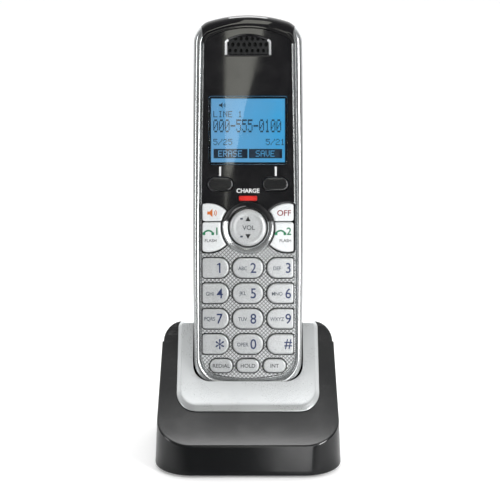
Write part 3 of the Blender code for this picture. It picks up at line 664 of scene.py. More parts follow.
def moulded(name, colour, drift=0.12, roughness=(0.25, 0.4), grain=(2600.0, 6e-6), wear=0.3, worn=None,
            dust=0.06, scratches=0.25, pattern=None, flake=0.0, **shader):
    """A moulded or lacquered plastic finish; shader holds constant values for the shader's own sockets."""
    tree, principled, place = start_material(name)
    for label, value in shader.items():
        put(tree, principled.inputs[label.replace("_", " ").title().replace("Ior", "IOR")], value)
    texture = use_group(tree, "Moulding grain", Vector=place, Grains_per_metre=grain[0])
    shade = blend_colours(tree, texture["Drift"], scaled(colour, 1 - drift), scaled(colour, 1 + drift))
    handling = use_group(tree, "Handling marks", Vector=place, Clean=roughness[0], Handled=roughness[1],
                         Scratches=scratches)
    rough = handling["Roughness"]
    if flake:
        sparkle = use_group(tree, "Metal flake", Vector=place, Flake_size=0.00016, Contrast=flake)
        shade = blend_colours(tree, 0.6, shade, blend_colours(tree, sparkle["Shade"], (0, 0, 0), (1, 1, 1)),
                              "OVERLAY")
        rough = calculate(tree, "ADD", rough, sparkle["Roughness"])
    # Convex edges are lightened towards the worn colour: partly rubbed wear, partly a painted highlight
    # along the edges.
    edge = use_group(tree, "Edge wear", Vector=place, Amount=wear)
    worn = worn or tuple(min(1.0, value * 1.8 + 0.02) for value in colour)
    shade = blend_colours(tree, edge["Mask"], shade, worn)
    settled = use_group(tree, "Settled dust", Vector=place, Amount=dust)
    shade = blend_colours(tree, settled["Mask"], shade, (0.55, 0.54, 0.51))
    normal = bump(tree, texture["Height"], grain[1])
    if pattern:
        pitch, depth, line_colour, turn = pattern
        turned = add_node(tree, "ShaderNodeMapping", {"Vector": place,
                                                      "Rotation": (LEAN, 0.0, 0.0)}).outputs[0]
        turned = add_node(tree, "ShaderNodeMapping", {"Vector": turned,
                                                      "Rotation": (0.0, turn, 0.0)}).outputs[0]
        ridges = use_group(tree, "Crossed ridges", Vector=turned, Pitch=pitch)
        # The ridges' valleys are darkened towards the line colour: painted shade in the grooves of the
        # pattern.
        shade = blend_colours(tree, ridges["Line"], shade, line_colour)
        normal = bump(tree, ridges["Height"], depth, normal)
    put(tree, principled.inputs["Base Color"], shade)
    put(tree, principled.inputs["Roughness"], rough)
    put(tree, principled.inputs["Normal"], normal)


def printed(name, colour):
    """Screen-printed ink, slightly uneven."""
    tree, principled, place = start_material(name)
    cover = use_group(tree, "Moulding grain", Vector=place, Grains_per_metre=5200.0, Drift_per_metre=400.0)
    put(tree, principled.inputs["Base Color"], blend_colours(tree, cover["Drift"], scaled(colour, 0.8),
                                                             colour))
    put(tree, principled.inputs["Roughness"], remap(tree, cover["Drift"], 0.0, 1.0, 0.37, 0.53))
    put(tree, principled.inputs["Normal"], bump(tree, cover["Height"], 3e-6))


def make_glass(name, tint):
    """A clear moulded pane."""
    tree, principled, place = start_material(name)
    for label, value in (("Transmission Weight", 1.0), ("IOR", 1.42), ("Base Color", tint)):
        put(tree, principled.inputs[label], value)
    marks = use_group(tree, "Handling marks", Vector=place, Clean=0.01, Handled=0.06, Scratches=0.2)
    put(tree, principled.inputs["Roughness"], marks["Roughness"])
    put(tree, principled.inputs["Normal"], bump(tree, noise(tree, place, 60.0), 4e-6))


def make_display(name, left, right, strength):
    """A backlit liquid crystal: a fine dot grid, paler towards its left edge with a painted reflection over
    the backlight.
    """
    tree, principled, place = start_material(name)
    turned = add_node(tree, "ShaderNodeMapping", {"Vector": place, "Rotation": (LEAN, 0.0, 0.0)}).outputs[0]
    across = add_node(tree, "ShaderNodeSeparateXYZ", {0: turned}).outputs["X"]
    share = remap(tree, across, -15 * MM, 13 * MM)
    dots = use_group(tree, "Crossed ridges", Vector=turned, Pitch=0.4 * MM)
    # The blend from left to right paints a pale reflection at the left over the backlight, in the base
    # colour and in the emission.
    glow = blend_colours(tree, share, left, right)
    cloud = noise(tree, place, 90.0, 2.0)
    glow = blend_colours(tree, remap(tree, cloud, 0.35, 0.65, 0.0, 0.25), glow, scaled(left, 0.8))
    grid = calculate(tree, "MULTIPLY", dots["Line"], 0.12)
    glow = blend_colours(tree, grid, glow, scaled(left, 0.5))
    put(tree, principled.inputs["Base Color"], blend_colours(tree, 0.85, glow, (0.02, 0.03, 0.04)))
    put(tree, principled.inputs["Emission Color"], glow)
    put(tree, principled.inputs["Emission Strength"], strength)
    put(tree, principled.inputs["Roughness"], remap(tree, cloud, 0.3, 0.7, 0.4, 0.5))
    put(tree, principled.inputs["Normal"], bump(tree, dots["Height"], 2e-6))


def make_glow(name, colour, strength):
    """A small lit moulding."""
    tree, principled, place = start_material(name)
    texture = use_group(tree, "Moulding grain", Vector=place, Grains_per_metre=1500.0,
                        Drift_per_metre=300.0)
    for label, share in (("Base Color", 0.7), ("Emission Color", 0.8)):
        put(tree, principled.inputs[label], blend_colours(tree, texture["Drift"], scaled(colour, share),
                                                          colour))
    put(tree, principled.inputs["Emission Strength"], strength)
    put(tree, principled.inputs["Roughness"], remap(tree, texture["Drift"], 0.0, 1.0, 0.35, 0.45))
    put(tree, principled.inputs["Normal"], bump(tree, texture["Height"], 4e-6))


def make_board(name, colour):
    """A circuit board with its tracks and pads under green lacquer."""
    tree, principled, place = start_material(name)
    cells = add_node(tree, "ShaderNodeTexBrick", {"Vector": place, "Scale": 160.0, "Mortar Size": 0.04})
    tracks = cells.outputs["Fac"]
    drift = use_group(tree, "Moulding grain", Vector=place, Grains_per_metre=3000.0)
    base = blend_colours(tree, drift["Drift"], scaled(colour, 0.8), colour)
    put(tree, principled.inputs["Base Color"], blend_colours(tree, tracks, base, (0.32, 0.42, 0.16)))
    put(tree, principled.inputs["Metallic"], calculate(tree, "MULTIPLY", tracks, 0.5))
    put(tree, principled.inputs["Roughness"], remap(tree, drift["Drift"], 0.0, 1.0, 0.3, 0.45))
    put(tree, principled.inputs["Normal"], bump(tree, tracks, 2e-5))


# What a user may change


def colour_property(name, description, default):
    return FloatVectorProperty(
        name=name, description=description, default=default, subtype="COLOR", size=3, min=0.0, max=1.0)


def length_property(name, description, default, low, high):
    return FloatProperty(
        name=name, description=description, default=default * MM, min=low * MM, max=high * MM,
        unit="LENGTH", precision=5)


class TelephoneColours(bpy.types.PropertyGroup):
    silver: colour_property("Silver", "Lacquer on the frame, the key panel and the cradle's plate",
                            (0.64, 0.66, 0.665))
    keys: colour_property("Keys", "Lacquer on the keys", (0.53, 0.545, 0.55))
    black: colour_property("Black", "Gloss black of the face and the handset's upper end",
                           (0.008, 0.008, 0.009))
    housing: colour_property("Housing", "Satin black of the rear shell and the cradle",
                             (0.012, 0.013, 0.014))
    # The left colour is paler than the right: it holds a painted reflection over the backlight.
    display_left_with_reflection: colour_property("Display, left", "Backlight at the display's left edge",
                                  (0.12, 0.33, 0.56))
    display_right: colour_property("Display, right", "Backlight at the display's right edge",
                                   (0.035, 0.33, 0.62))
    digits: colour_property("Digits", "Ink of the digits on the keys", (0.015, 0.03, 0.11))


class TelephoneSizes(bpy.types.PropertyGroup):
    moulding_round: length_property("Edge rounding", "Rounding of moulded edges", 0.25, 0.05, 0.4)
    print_height: length_property("Print height", "How far the printed marks stand off a surface", 0.02,
                                  0.005, 0.05)
    digit_height: length_property("Digit height", "Height of the digits on the dial keys", 4.6, 2, 6)
    hole_pitch: length_property("Hole pitch", "Distance between the earpiece's holes", 2.5, 1.8, 4)
    hole_size: length_property("Hole size", "Across each of the earpiece's holes", 1.7, 0.5, 2)
    number: StringProperty(
        name="Number", description="Number on the display", default="000-555-0100")


class TelephoneStudio(bpy.types.PropertyGroup):
    floor_size: FloatProperty(
        name="Floor", description="Width of the floor", default=6.0, min=1.0, max=20.0, unit="LENGTH")
    room_light: FloatProperty(
        name="Room light", description="Strength of the light from the room", default=1.6, min=0.0, max=5.0)
    key_light: FloatProperty(
        name="Key light", description="Power of the soft light at the right", default=1.5, min=0.0,
        max=100.0, unit="POWER")
    distance: FloatProperty(
        name="Camera distance", description="From the camera to what it looks at", default=0.8556, min=0.2,
        max=5.0, unit="LENGTH")
    elevation: FloatProperty(
        name="Camera elevation", description="Angle of the camera above level", default=math.radians(16.79),
        min=0.0, max=1.5, subtype="ANGLE")
    lens: FloatProperty(
        name="Focal length", description="Focal length in millimetres", default=136.8, min=20.0, max=300.0)


# Printed marks

CAPITAL_SHARE = 0.72  # height of a capital in a font of size one

def lettering(text, size, centre, front, height, bold=0.0, stretch=1.0):
    """Text as a thin mesh on the handset's front, its middle at centre (across, up)."""
    curve = bpy.data.curves.new("lettering", "FONT")
    curve.body = text
    curve.size = size / CAPITAL_SHARE
    curve.offset = bold
    curve.extrude = height / 2
    curve.resolution_u = 4
    data = merged(baked(as_object("lettering", curve)), 1e-7)
    points = [vertex.co for vertex in data.vertices]
    middle = [(min(p[axis] for p in points) + max(p[axis] for p in points)) / 2 for axis in (0, 1)]
    data.transform(Matrix.Translation((-middle[0], -middle[1], 0)))
    data.transform(Matrix.Diagonal((stretch, 1, 1, 1)))
    return data_on_front(data, centre, front - height / 2)


def data_on_front(data, centre, depth):
    """Turns a mesh that was drawn in the XY plane to face the handset's front."""
    across, up = centre
    data.transform(Matrix.Translation((across, depth, up)) @ Matrix.Rotation(math.radians(90), 4, "X"))
    return data


def marked(outline, front, height):
    """A filled outline as a thin mesh on the handset's front."""
    return slab(outline, front - height, front)


def stroke(points, width, front, height):
    """A thick line through (across, up) points as a thin mesh."""
    spots = [Vector(point) for point in points]
    left, right = [], []
    for index, here in enumerate(spots):
        before, after = spots[max(0, index - 1)], spots[min(len(spots) - 1, index + 1)]
        along = (after - before).normalized()
        side = Vector((-along.y, along.x)) * width / 2
        left.append(tuple(here + side))
        right.append(tuple(here - side))
    return marked(right + list(reversed(left)), front, height)


def receiver_icon(centre, size, front, height):
    """A small curved telephone receiver."""
    across, up = centre
    bow = arc((across, up - size * 0.55), size * 0.62, 25, 155, 10)
    parts = [stroke(bow, size * 0.2, front, height)]
    for side in (-1, 1):
        parts.append(marked(rounded_box((across + side * size * 0.52, up - size * 0.3),
                                        (size * 0.16, size * 0.16), size * 0.06, 3), front, height * 1.3))
    return joined(parts)


def speaker_icon(centre, size, front, height):
    """A small loudspeaker with two sound waves."""
    across, up = centre
    cone = [(-0.5, -0.16), (-0.24, -0.16), (0.06, -0.46), (0.06, 0.46), (-0.24, 0.16), (-0.5, 0.16)]
    parts = [marked([(across + x * size, up + y * size) for x, y in cone], front, height)]
    for radius in (0.28, 0.46):
        parts.append(stroke(arc((across + 0.02 * size, up), radius * size, -42, 42, 8), size * 0.09, front,
                            height))
    return joined(parts)


def triangle(centre, half_width, height, front, thick, down=False):
    across, up = centre
    tip = -height / 2 if down else height / 2
    outline = [(across - half_width, up - tip), (across + half_width, up - tip), (across, up + tip)]
    if down:
        outline.reverse()
    return marked(soften(outline, 0.15 * MM), front, thick)


# Geometry node trees


def start_tree(name, inputs):
    """A geometry node tree with a geometry in, one out, and named inputs."""
    tree = bpy.data.node_groups.new(name, "GeometryNodeTree")
    tree.interface.new_socket("Geometry", in_out="INPUT", socket_type="NodeSocketGeometry")
    for label, kind, default in inputs:
        socket = tree.interface.new_socket(label, in_out="INPUT", socket_type="NodeSocket" + kind)
        if default is not None:
            socket.default_value = default
    tree.interface.new_socket("Geometry", in_out="OUTPUT", socket_type="NodeSocketGeometry")
    return tree, tree.nodes.new("NodeGroupInput").outputs, tree.nodes.new("NodeGroupOutput").inputs[0]


def end_tree(tree, instances, material, target):
    real = add_node(tree, "GeometryNodeRealizeInstances", {"Geometry": instances}).outputs[0]
    finish = add_node(tree, "GeometryNodeSetMaterial", {"Geometry": real, "Material": material})
    put(tree, target, finish.outputs[0])


CLOSE_ROWS = 0.866  # row pitch of close-packed holes, as a share of their pitch


def points_grid(tree, given, column_pitch, row_pitch):
    """A grid of points, the row each is in, and the grid's height."""
    sizes = [calculate(tree, "MULTIPLY", calculate(tree, "SUBTRACT", given[count], 1.0), pitch)
             for count, pitch in (("Columns", column_pitch), ("Rows", row_pitch))]
    grid = add_node(tree, "GeometryNodeMeshGrid", {
        "Size X": sizes[0], "Size Y": sizes[1], "Vertices X": given["Columns"],
        "Vertices Y": given["Rows"]})
    index = tree.nodes.new("GeometryNodeInputIndex").outputs[0]
    return grid.outputs[0], calculate(tree, "MODULO", index, given["Rows"]), sizes[1]


def make_set_out_tree():
    """Copies the given piece over a grid; rows may be narrower away from the middle one."""
    inputs = [
        ("Columns", "Int", 2), ("Rows", "Int", 2), ("Column pitch", "Float", 0.01),
        ("Row pitch", "Float", 0.01), ("Taper", "Float", 0.0), ("Material", "Material", None),
    ]
    tree, given, target = start_tree("Set out", inputs)
    grid, row, _ = points_grid(tree, given, given["Column pitch"], given["Row pitch"])
    half = calculate(tree, "MULTIPLY", calculate(tree, "SUBTRACT", given["Rows"], 1.0), 0.5)
    off_middle = calculate(tree, "ABSOLUTE", calculate(tree, "SUBTRACT", row, half))
    narrower = calculate(tree, "SUBTRACT", 1.0, calculate(tree, "MULTIPLY", off_middle, given["Taper"]))
    scale = add_node(tree, "ShaderNodeCombineXYZ", {"X": narrower, "Y": 1.0, "Z": 1.0}).outputs[0]
    copies = add_node(tree, "GeometryNodeInstanceOnPoints", {
        "Points": grid, "Instance": given["Geometry"], "Scale": scale}).outputs[0]
    end_tree(tree, copies, given["Material"], target)


def make_holes_tree():
    """Staggered round holes inside an arched edge, smaller in the lower rows."""
    inputs = [
        ("Columns", "Int", 8), ("Rows", "Int", 4), ("Pitch", "Float", 0.0025),
        ("Hole size", "Float", 0.0017), ("Depth", "Float", 0.003), ("Arch", "Float", 30.0),
        ("Arch top", "Float", 0.004), ("Smallest", "Float", 0.6), ("Material", "Material", None),
    ]
    tree, given, target = start_tree("Holes", inputs)
    pitch = given["Pitch"]
    row_pitch = calculate(tree, "MULTIPLY", pitch, CLOSE_ROWS)
    grid, row, high = points_grid(tree, given, pitch, row_pitch)
    odd = calculate(tree, "SUBTRACT", calculate(tree, "MODULO", row, 2.0), 0.5)
    shift = add_node(tree, "ShaderNodeCombineXYZ", {
        "X": calculate(tree, "MULTIPLY", odd, calculate(tree, "MULTIPLY", pitch, 0.5))})
    placed = add_node(tree, "GeometryNodeSetPosition", {"Geometry": grid,
                                                        "Offset": shift.outputs[0]}).outputs[0]
    spot = add_node(tree, "ShaderNodeSeparateXYZ",
                    {0: tree.nodes.new("GeometryNodeInputPosition").outputs[0]})
    bow = calculate(tree, "MULTIPLY", calculate(tree, "MULTIPLY", spot.outputs["X"], spot.outputs["X"]),
                    given["Arch"])
    edge = calculate(tree, "SUBTRACT", given["Arch top"], bow)
    outside = calculate(tree, "GREATER_THAN", spot.outputs["Y"], edge)
    kept = add_node(tree, "GeometryNodeDeleteGeometry", {"Geometry": placed,
                                                         "Selection": outside}).outputs[0]
    hole = add_node(tree, "GeometryNodeMeshCylinder", {
        "Vertices": 12, "Radius": calculate(tree, "MULTIPLY", given["Hole size"], 0.5),
        "Depth": given["Depth"]})
    share = add_node(tree, "ShaderNodeMapRange")
    low = calculate(tree, "MULTIPLY", high, -0.5)
    for number, value in enumerate((spot.outputs["Y"], low, 0.0, given["Smallest"], 1.0)):
        put(tree, share.inputs[number], value)
    size = add_node(tree, "ShaderNodeCombineXYZ", {"X": share.outputs[0], "Y": share.outputs[0],
                                                   "Z": 1.0}).outputs[0]
    copies = add_node(tree, "GeometryNodeInstanceOnPoints", {
        "Points": kept, "Instance": hole.outputs["Mesh"], "Scale": size}).outputs[0]
    end_tree(tree, copies, given["Material"], target)


def grown_from(tree_name, data, material, **values):
    """The mesh that a geometry node tree makes; underscores in input names stand for spaces."""
    tree = bpy.data.node_groups[tree_name]
    holder = as_object("holder", data or bpy.data.meshes.new("empty"))
    modifier = holder.modifiers.new("nodes", "NODES")
    modifier.node_group = tree
    chosen = {label.replace("_", " "): value for label, value in values.items()}
    chosen["Material"] = bpy.data.materials[material]
    for item in tree.interface.items_tree:
        if item.in_out == "INPUT" and item.name in chosen:
            modifier[item.identifier] = chosen[item.name]
    return merged(baked(holder), 1e-7)


# Turned and extruded meshes


def prisms(outlines, front, back):
    """One mesh of upright-sided solids with these outlines on the handset's front."""
    return joined([slab(outline, front, back) for outline in outlines])


def turned(profile, centre, direction="back", steps=64, around=False):
    """A mesh turned from (radius, distance) pairs about a line "back" into the handset or "up"."""
    rings = []
    for radius, distance in profile:
        round_points = circle((0, 0), radius, steps)
        if direction == "up":
            rings.append([Vector((a + centre[0], b + centre[1], distance)) for a, b in round_points])
        else:
            rings.append([Vector((a + centre[0], distance, b + centre[1])) for a, b in round_points])
    return skin(rings, around=around)


def boxed(low, high):
    (x0, y0, z0), (x1, y1, z1) = low, high
    outline = [(x0, y0), (x1, y0), (x1, y1), (x0, y1)]
    return upright(outline, z0, z1)


def slot_shape(half_width, half_height, depth, steps=8):
    """A bar with round ends, drawn in the XY plane."""
    outline = rounded_box((0, 0), (half_width, half_height), half_height * 0.98, steps)
    return upright(outline, -depth, depth)


def crossed_screw(head, thickness, slot_width):
    """A screw head in the XY plane with its top up at zero, and a crossed recess."""
    profile = [(head * 0.55, -thickness - head * 0.6), (head * 0.97, -thickness), (head, -thickness * 0.8),
               (head, -thickness * 0.35), (head * 0.93, -thickness * 0.1), (head * 0.8, 0.0)]
    solid = turned(profile, (0, 0), "up", 32)
    reach, half = head * 0.62, slot_width / 2
    bars = [boxed((-reach, -half, -thickness * 0.75), (reach, half, thickness)),
            boxed((-half, -reach, -thickness * 0.75), (half, reach, thickness))]
    return rounded_edges(cut(solid, bars), head * 0.04, 40, 2)


# Pieces of the handset


def shell_profile(points, steps=4):
    return [(max(0.0, min(1.0, share)), depth * MM) for share, depth in smooth_curve(points, steps)]


FRAME_PROFILE = [
    (0.0, 12.675), (0.0, 8.0), (0.0, 4.4), (0.05, 2.1), (0.15, 0.95), (0.3, 0.3), (0.48, 0.02), (0.62, 0.1),
    (0.7, 0.36), (0.77, 1.1), (0.82, 1.5), (0.87, 1.2), (0.91, 0.7), (0.96, 0.66), (1.0, 0.85), (1.0, 2.7),
]
CAP_PROFILE = [
    (0.0, 12.675), (0.0, 8.0), (0.0, 4.4), (0.06, 2.0), (0.26, 0.5), (0.55, 0.02), (0.85, 0.1), (1.0, 0.3),
    (1.0, 2.7),
]


def shell_ring(profile):
    """The front shell's rim with a given outer form."""
    outer = [at_depth(handset_outline(face_share=share), depth) for share, depth in shell_profile(profile)]
    inner = [at_depth(handset_outline(WALL + 1 * MM), 3.85 * MM), at_depth(handset_outline(WALL), 6 * MM),
             at_depth(handset_outline(WALL), PARTING - GAP / 2)]
    return skin(outer + inner, around=True)


def top_outline():
    low, knee, high, above = 157 * MM, 163 * MM, 168.2 * MM, 175 * MM
    inner, outer = 20.1 * MM, 23 * MM
    half = [(inner, low), (inner + 0.3 * MM, knee), (outer, high), (outer, above)]
    return half + [(-across, up) for across, up in reversed(half)]


def earpiece_outline(half=10.5 * MM, low=151 * MM, high=161.3 * MM):
    top = [(half * step / 8, high - (step * half / 8) ** 2 * 26) for step in range(7, -8, -1)]
    return soften([(-half, low), (half, low), (half, high - 3.2 * MM), *top, (-half, high - 3.2 * MM)],
                  0.8 * MM)


def key_openings():
    outlines = [grow(o, GAP) for o in dial_outlines().values()]
    outlines += [grow(o, GAP) for o in soft_outlines().values()]
    outlines += [grow(function_outline(side, None, None), GAP) for side in (-1, 1)]
    return outlines


BAR = rounded_box((0, 87.5 * MM), (4.1 * MM, 1.1 * MM), 0.6 * MM, 6)
WINDOW = rounded_box((0, WINDOW_CENTRE), WINDOW_HALF, 1.0 * MM, 6)


class TELEPHONE_OT_front_shell(bpy.types.Operator):
    """Silver frame round the face, black upper end between its shoulders, and the deck behind the face"""

    bl_idname = "telephone.front_shell"
    bl_label = "Front shell"

    def execute(self, context):
        end = prisms([top_outline()], -5 * MM, 20 * MM)
        beyond = prisms([grow(top_outline(), GAP / 2)], -5 * MM, 20 * MM)
        rim = cut(shell_ring(FRAME_PROFILE), [beyond])
        add_piece("silver_frame", rim, "handset", ["silver lacquer"], ["front_shell"])
        cap = rounded_edges(cut(shell_ring(CAP_PROFILE), [end], "INTERSECT"), 0.2 * MM, 50, 2)
        add_piece("upper_end", cap, "handset", ["gloss black"], ["top_cap"])
        deck = slab(handset_outline(WALL + 0.7 * MM), 3.0 * MM, 3.8 * MM)
        openings = key_openings() + [grow(WINDOW, 2 * GAP), grow(BAR, GAP), earpiece_outline()]
        round_hole = turned(((ROCKER_HOLE, 2 * MM), (ROCKER_HOLE, 5 * MM)), (0, ROCKER_UP))
        deck = cut(deck, [prisms(openings, 2 * MM, 5 * MM), round_hole])
        add_piece("front_deck", deck, "handset", ["satin black"])
        return {"FINISHED"}


class TELEPHONE_OT_face(bpy.types.Operator):
    """Gloss black lens over the silver key panel, and the dished ring round the rocker"""

    bl_idname = "telephone.face"
    bl_label = "Face"

    def execute(self, context):
        rounding = context.scene.telephone_sizes.moulding_round * 0.6
        face = grow(handset_outline(face_share=1.0), -0.2 * MM)
        ring = turned(((11.95 * MM, -2 * MM), (11.95 * MM, 4 * MM)), (0, ROCKER_UP))
        lens_outline = clip(face, LENS_BOTTOM + GAP / 3, True)
        lens = slab(lens_outline, LENS_FRONT, FACE_BACK)
        openings = key_openings() + [grow(WINDOW, 0.1 * MM), grow(BAR, 0.15 * MM), earpiece_outline()]
        lens = rounded_edges(cut(lens, [prisms(openings, -2 * MM, 4 * MM), ring.copy()]), rounding, 40, 2)
        add_piece("face_glass", lens, "handset", ["gloss black"], ["face_lens"])
        panel_outline = clip(face, LENS_BOTTOM - GAP / 3, False)
        panel = slab(panel_outline, PANEL_FRONT, FACE_BACK)
        panel = rounded_edges(cut(panel, [prisms(key_openings(), -2 * MM, 4 * MM), ring]), rounding, 40, 2)
        add_piece("key_panel", panel, "handset", ["silver key panel"], ["keypad_panel"])
        self.dished_ring()
        self.bezels()
        return {"FINISHED"}

    def bezels(self):
        """Thin black lips round the openings of the keys."""
        levels = ((-0.04, 1.6), (-0.04, 0.84), (0.02, 0.8), (0.08, 0.8), (0.12, 0.88), (0.12, 1.6))
        parts = [stepped(outline, levels, True) for outline in key_openings()[: len(dial_outlines())]]
        levels = ((0.33, 1.6), (0.33, 0.36), (0.45, 0.3), (0.68, 0.3), (0.75, 0.4), (0.75, 1.6))
        for side in (-1, 1):
            parts.append(stepped(soften(function_outline(side, None, None), 0.8 * MM), levels, True))
        add_piece("key_bezels", joined(parts), "handset", ["gloss black"])

    def dished_ring(self):
        dish = [(11.85, 2.3), (11.85, 0.62), (11.72, 0.45), (11.5, 0.45), (11.3, 0.62), (10.6, 1.05),
                (9.6, 1.4), (9.1, 1.5), (9.0, 1.62), (9.0, 2.3)]
        profile = [(radius * MM, depth * MM) for radius, depth in dish]
        for name, material, body_slot, above in (("dish_upper", "gloss black", "black_gloss", True),
                                                 ("dish_lower", "silver lacquer", "silver_frame", False)):
            whole = turned(profile, (0, ROCKER_UP), "back", 96, True)
            middle = (0, LENS_BOTTOM + (20 if above else -20) * MM)
            half = slab(rounded_box(middle, (30 * MM, 20 * MM), 0.1 * MM, 1), -2 * MM, 5 * MM)
            add_piece(name, cut(whole, [half], "INTERSECT"), "handset", [material])


class TELEPHONE_OT_display(bpy.types.Operator):
    """Window, backlit display with its number and words, and the red charge light"""

    bl_idname = "telephone.display"
    bl_label = "Display"

    def execute(self, context):
        sizes = context.scene.telephone_sizes
        pane = rounded_edges(slab(WINDOW, 1.5 * MM, LENS_FRONT + 0.02 * MM), 0.12 * MM)
        add_piece("window_glass", pane, "handset", ["clear window"], ["display_window"])
        rim = stepped(WINDOW, ((0.0, 1.6), (0.0, 2.2), (-1.0, 2.2), (-0.7, 1.6)), True)
        add_piece("window_mask", rim, "handset", ["gloss black"])
        front = 2.3 * MM
        glass = slab(grow(WINDOW, -0.02 * MM), front, 5.1 * MM)
        add_piece("lcd_glass", glass, "handset", ["backlit display"], ["lcd_module"])
        self.segments(front, sizes)
        bar = stepped(BAR, ((0.0, 4.5), (0.0, 0.6), (-0.08, 0.42), (-0.25, 0.33)))
        add_piece("charge_light", bar, "handset", ["red light"], ["charge_light_pipe"])
        return {"FINISHED"}

    def segments(self, front, sizes):
        """The dark dots of the display."""
        up = WINDOW_CENTRE
        small, tall = (0.37 * MM, 0.4 * MM), (0.43 * MM, 0.84 * MM)
        rows = [
            (sizes.number, (-15.6 * MM, up + 5.0 * MM), tall),
            ("LINE 1", (-15.6 * MM, up + 8.7 * MM), small),
            ("5/25", (-15.6 * MM, up - 3.8 * MM), small),
            ("5/21", (8.0 * MM, up - 3.8 * MM), small),
        ]
        parts = [dot_text(text, corner, dot, front) for text, corner, dot in rows]
        parts.append(speaker_icon((-11.6 * MM, up + 11.3 * MM), 2.8 * MM, front, 0.05 * MM))
        for word, left, width in (("ERASE", -15.5 * MM, 15.3 * MM), ("SAVE", 0.4 * MM, 15.0 * MM)):
            outline = rounded_box((left + width / 2, up - 10.4 * MM), (width / 2, 2.1 * MM), 0.2 * MM, 3)
            bar = marked(outline, front, 0.05 * MM)
            start = left + width / 2 - len(word) * 3 * small[0]
            letters = dot_text(word, (start, up - 9.0 * MM), small, front, 1.0)
            parts.append(cut(bar, [letters]))
        add_piece("lcd_segments", joined(parts), "handset", ["display ink"])


# Dots of each sign, five across, from its top row down.
DOT_ROWS = {
    "0": "01110 10001 10011 10101 11001 10001 01110", "1": "00100 01100 00100 00100 00100 00100 01110",
    "2": "01110 10001 00001 00110 01000 10000 11111", "3": "01110 10001 00001 00110 00001 10001 01110",
    "4": "00010 00110 01010 10010 11111 00010 00010", "5": "11111 10000 11110 00001 00001 10001 01110",
    "6": "00110 01000 10000 11110 10001 10001 01110", "7": "11111 00001 00010 00100 00100 00100 00100",
    "8": "01110 10001 10001 01110 10001 10001 01110", "9": "01110 10001 10001 01111 00001 00010 01100",
    "-": "00000 00000 00000 11111 00000 00000 00000", "/": "00001 00001 00010 00100 01000 10000 10000",
    "A": "01110 10001 10001 11111 10001 10001 10001", "E": "11111 10000 10000 11110 10000 10000 11111",
    "I": "01110 00100 00100 00100 00100 00100 01110", "L": "10000 10000 10000 10000 10000 10000 11111",
    "N": "10001 11001 10101 10101 10011 10001 10001", "R": "11110 10001 10001 11110 10100 10010 10001",
    "S": "01111 10000 10000 01110 00001 00001 11110", "V": "10001 10001 10001 10001 10001 01010 00100",
    " ": "00000 00000 00000 00000 00000 00000 00000",
}


def dot_text(text, corner, dot, front, depth=0.05):
    """Signs made of square dots; corner is the upper left one's place, depth is in millimetres."""
    wide, high = dot
    parts = []
    for number, sign in enumerate(text):
        for row, cells in enumerate(DOT_ROWS[sign].split()):
            for column, cell in enumerate(cells):
                if cell == "1":
                    across = corner[0] + (number * 6 + column + 0.5) * wide
                    up = corner[1] - (row + 0.5) * high
                    low = Vector((across - wide * 0.47, front - depth * MM, up - high * 0.47))
                    high_corner = Vector((across + wide * 0.47, front + (depth - 0.05) * MM,
                                          up + high * 0.47))
                    parts.append(boxed(low, high_corner))
    return joined(parts)


class TELEPHONE_OT_earpiece(bpy.types.Operator):
    """Arched recess over the earpiece, its side walls pale with a painted highlight, and rows of small
    holes
    """

    bl_idname = "telephone.earpiece"
    bl_label = "Earpiece"

    def execute(self, context):
        sizes = context.scene.telephone_sizes
        outline = earpiece_outline()
        floor = slab(grow(outline, -0.04 * MM), 1.45 * MM, 2.3 * MM)
        holes = grown_from("Holes", None, "satin black", Columns=8, Rows=4, Pitch=sizes.hole_pitch,
                           Hole_size=sizes.hole_size, Depth=3.0 * MM, Arch=20.0, Arch_top=4.2 * MM,
                           Smallest=0.6)
        holes.transform(Matrix.Diagonal((1, 1.25, 1, 1)))
        data_on_front(holes, (0, EARPIECE_MIDDLE), 2 * MM)
        floor = rounded_edges(cut(floor, [holes]), 0.06 * MM, 40, 1)
        add_piece("earpiece_floor", floor, "handset", ["satin black"], ["earpiece_grille"])
        # A near-black sheet behind the holes: painted shade, so that the holes look dark.
        felt = marked(grow(outline, -0.3 * MM), 2.36 * MM, -0.3 * MM)
        add_piece("earpiece_felt", felt, "handset", ["felt"])
        levels = ((-0.03, 2.25), (-0.03, 0.62), (-0.13, 0.5), (-0.25, 0.5), (-0.43, 0.62), (-1.08, 1.25),
                  (-1.18, 1.44), (-0.33, 2.2))
        rim = stepped(outline, levels, True)
        # The side walls take the pale finish: a painted highlight where the recess catches light.
        for face in rim.polygons:
            across, depth, up = face.center / MM
            face.material_index = int(depth > 0.55 and abs(across) > 8.6 and up > 152.6)
        add_piece("earpiece_rim", rim, "handset", ["gloss black", "bright trim"])
        return {"FINISHED"}


DIGIT_LETTERS = {"2": "ABC", "3": "DEF", "4": "GHI", "5": "JKL", "6": "MNO", "7": "PQRS", "8": "TUV",
                 "9": "WXYZ", "0": "OPER"}
# Millimetres across for the keys left, in the middle and right.
DIGIT_PLACES = {-1: -12.7, 0: 2.4, 1: 18.1}
LETTER_PLACES = {-1: -17.2, 0: -2.4, 1: 13.1}
SMALL_PRINT = 1.75 * MM
FUNCTION_KEYS = ("key_speaker", "key_off", "key_line_1", "key_line_2")
SMALL_WORDS = {"key_redial": "REDIAL", "key_hold": "HOLD", "key_intercom": "INT"}


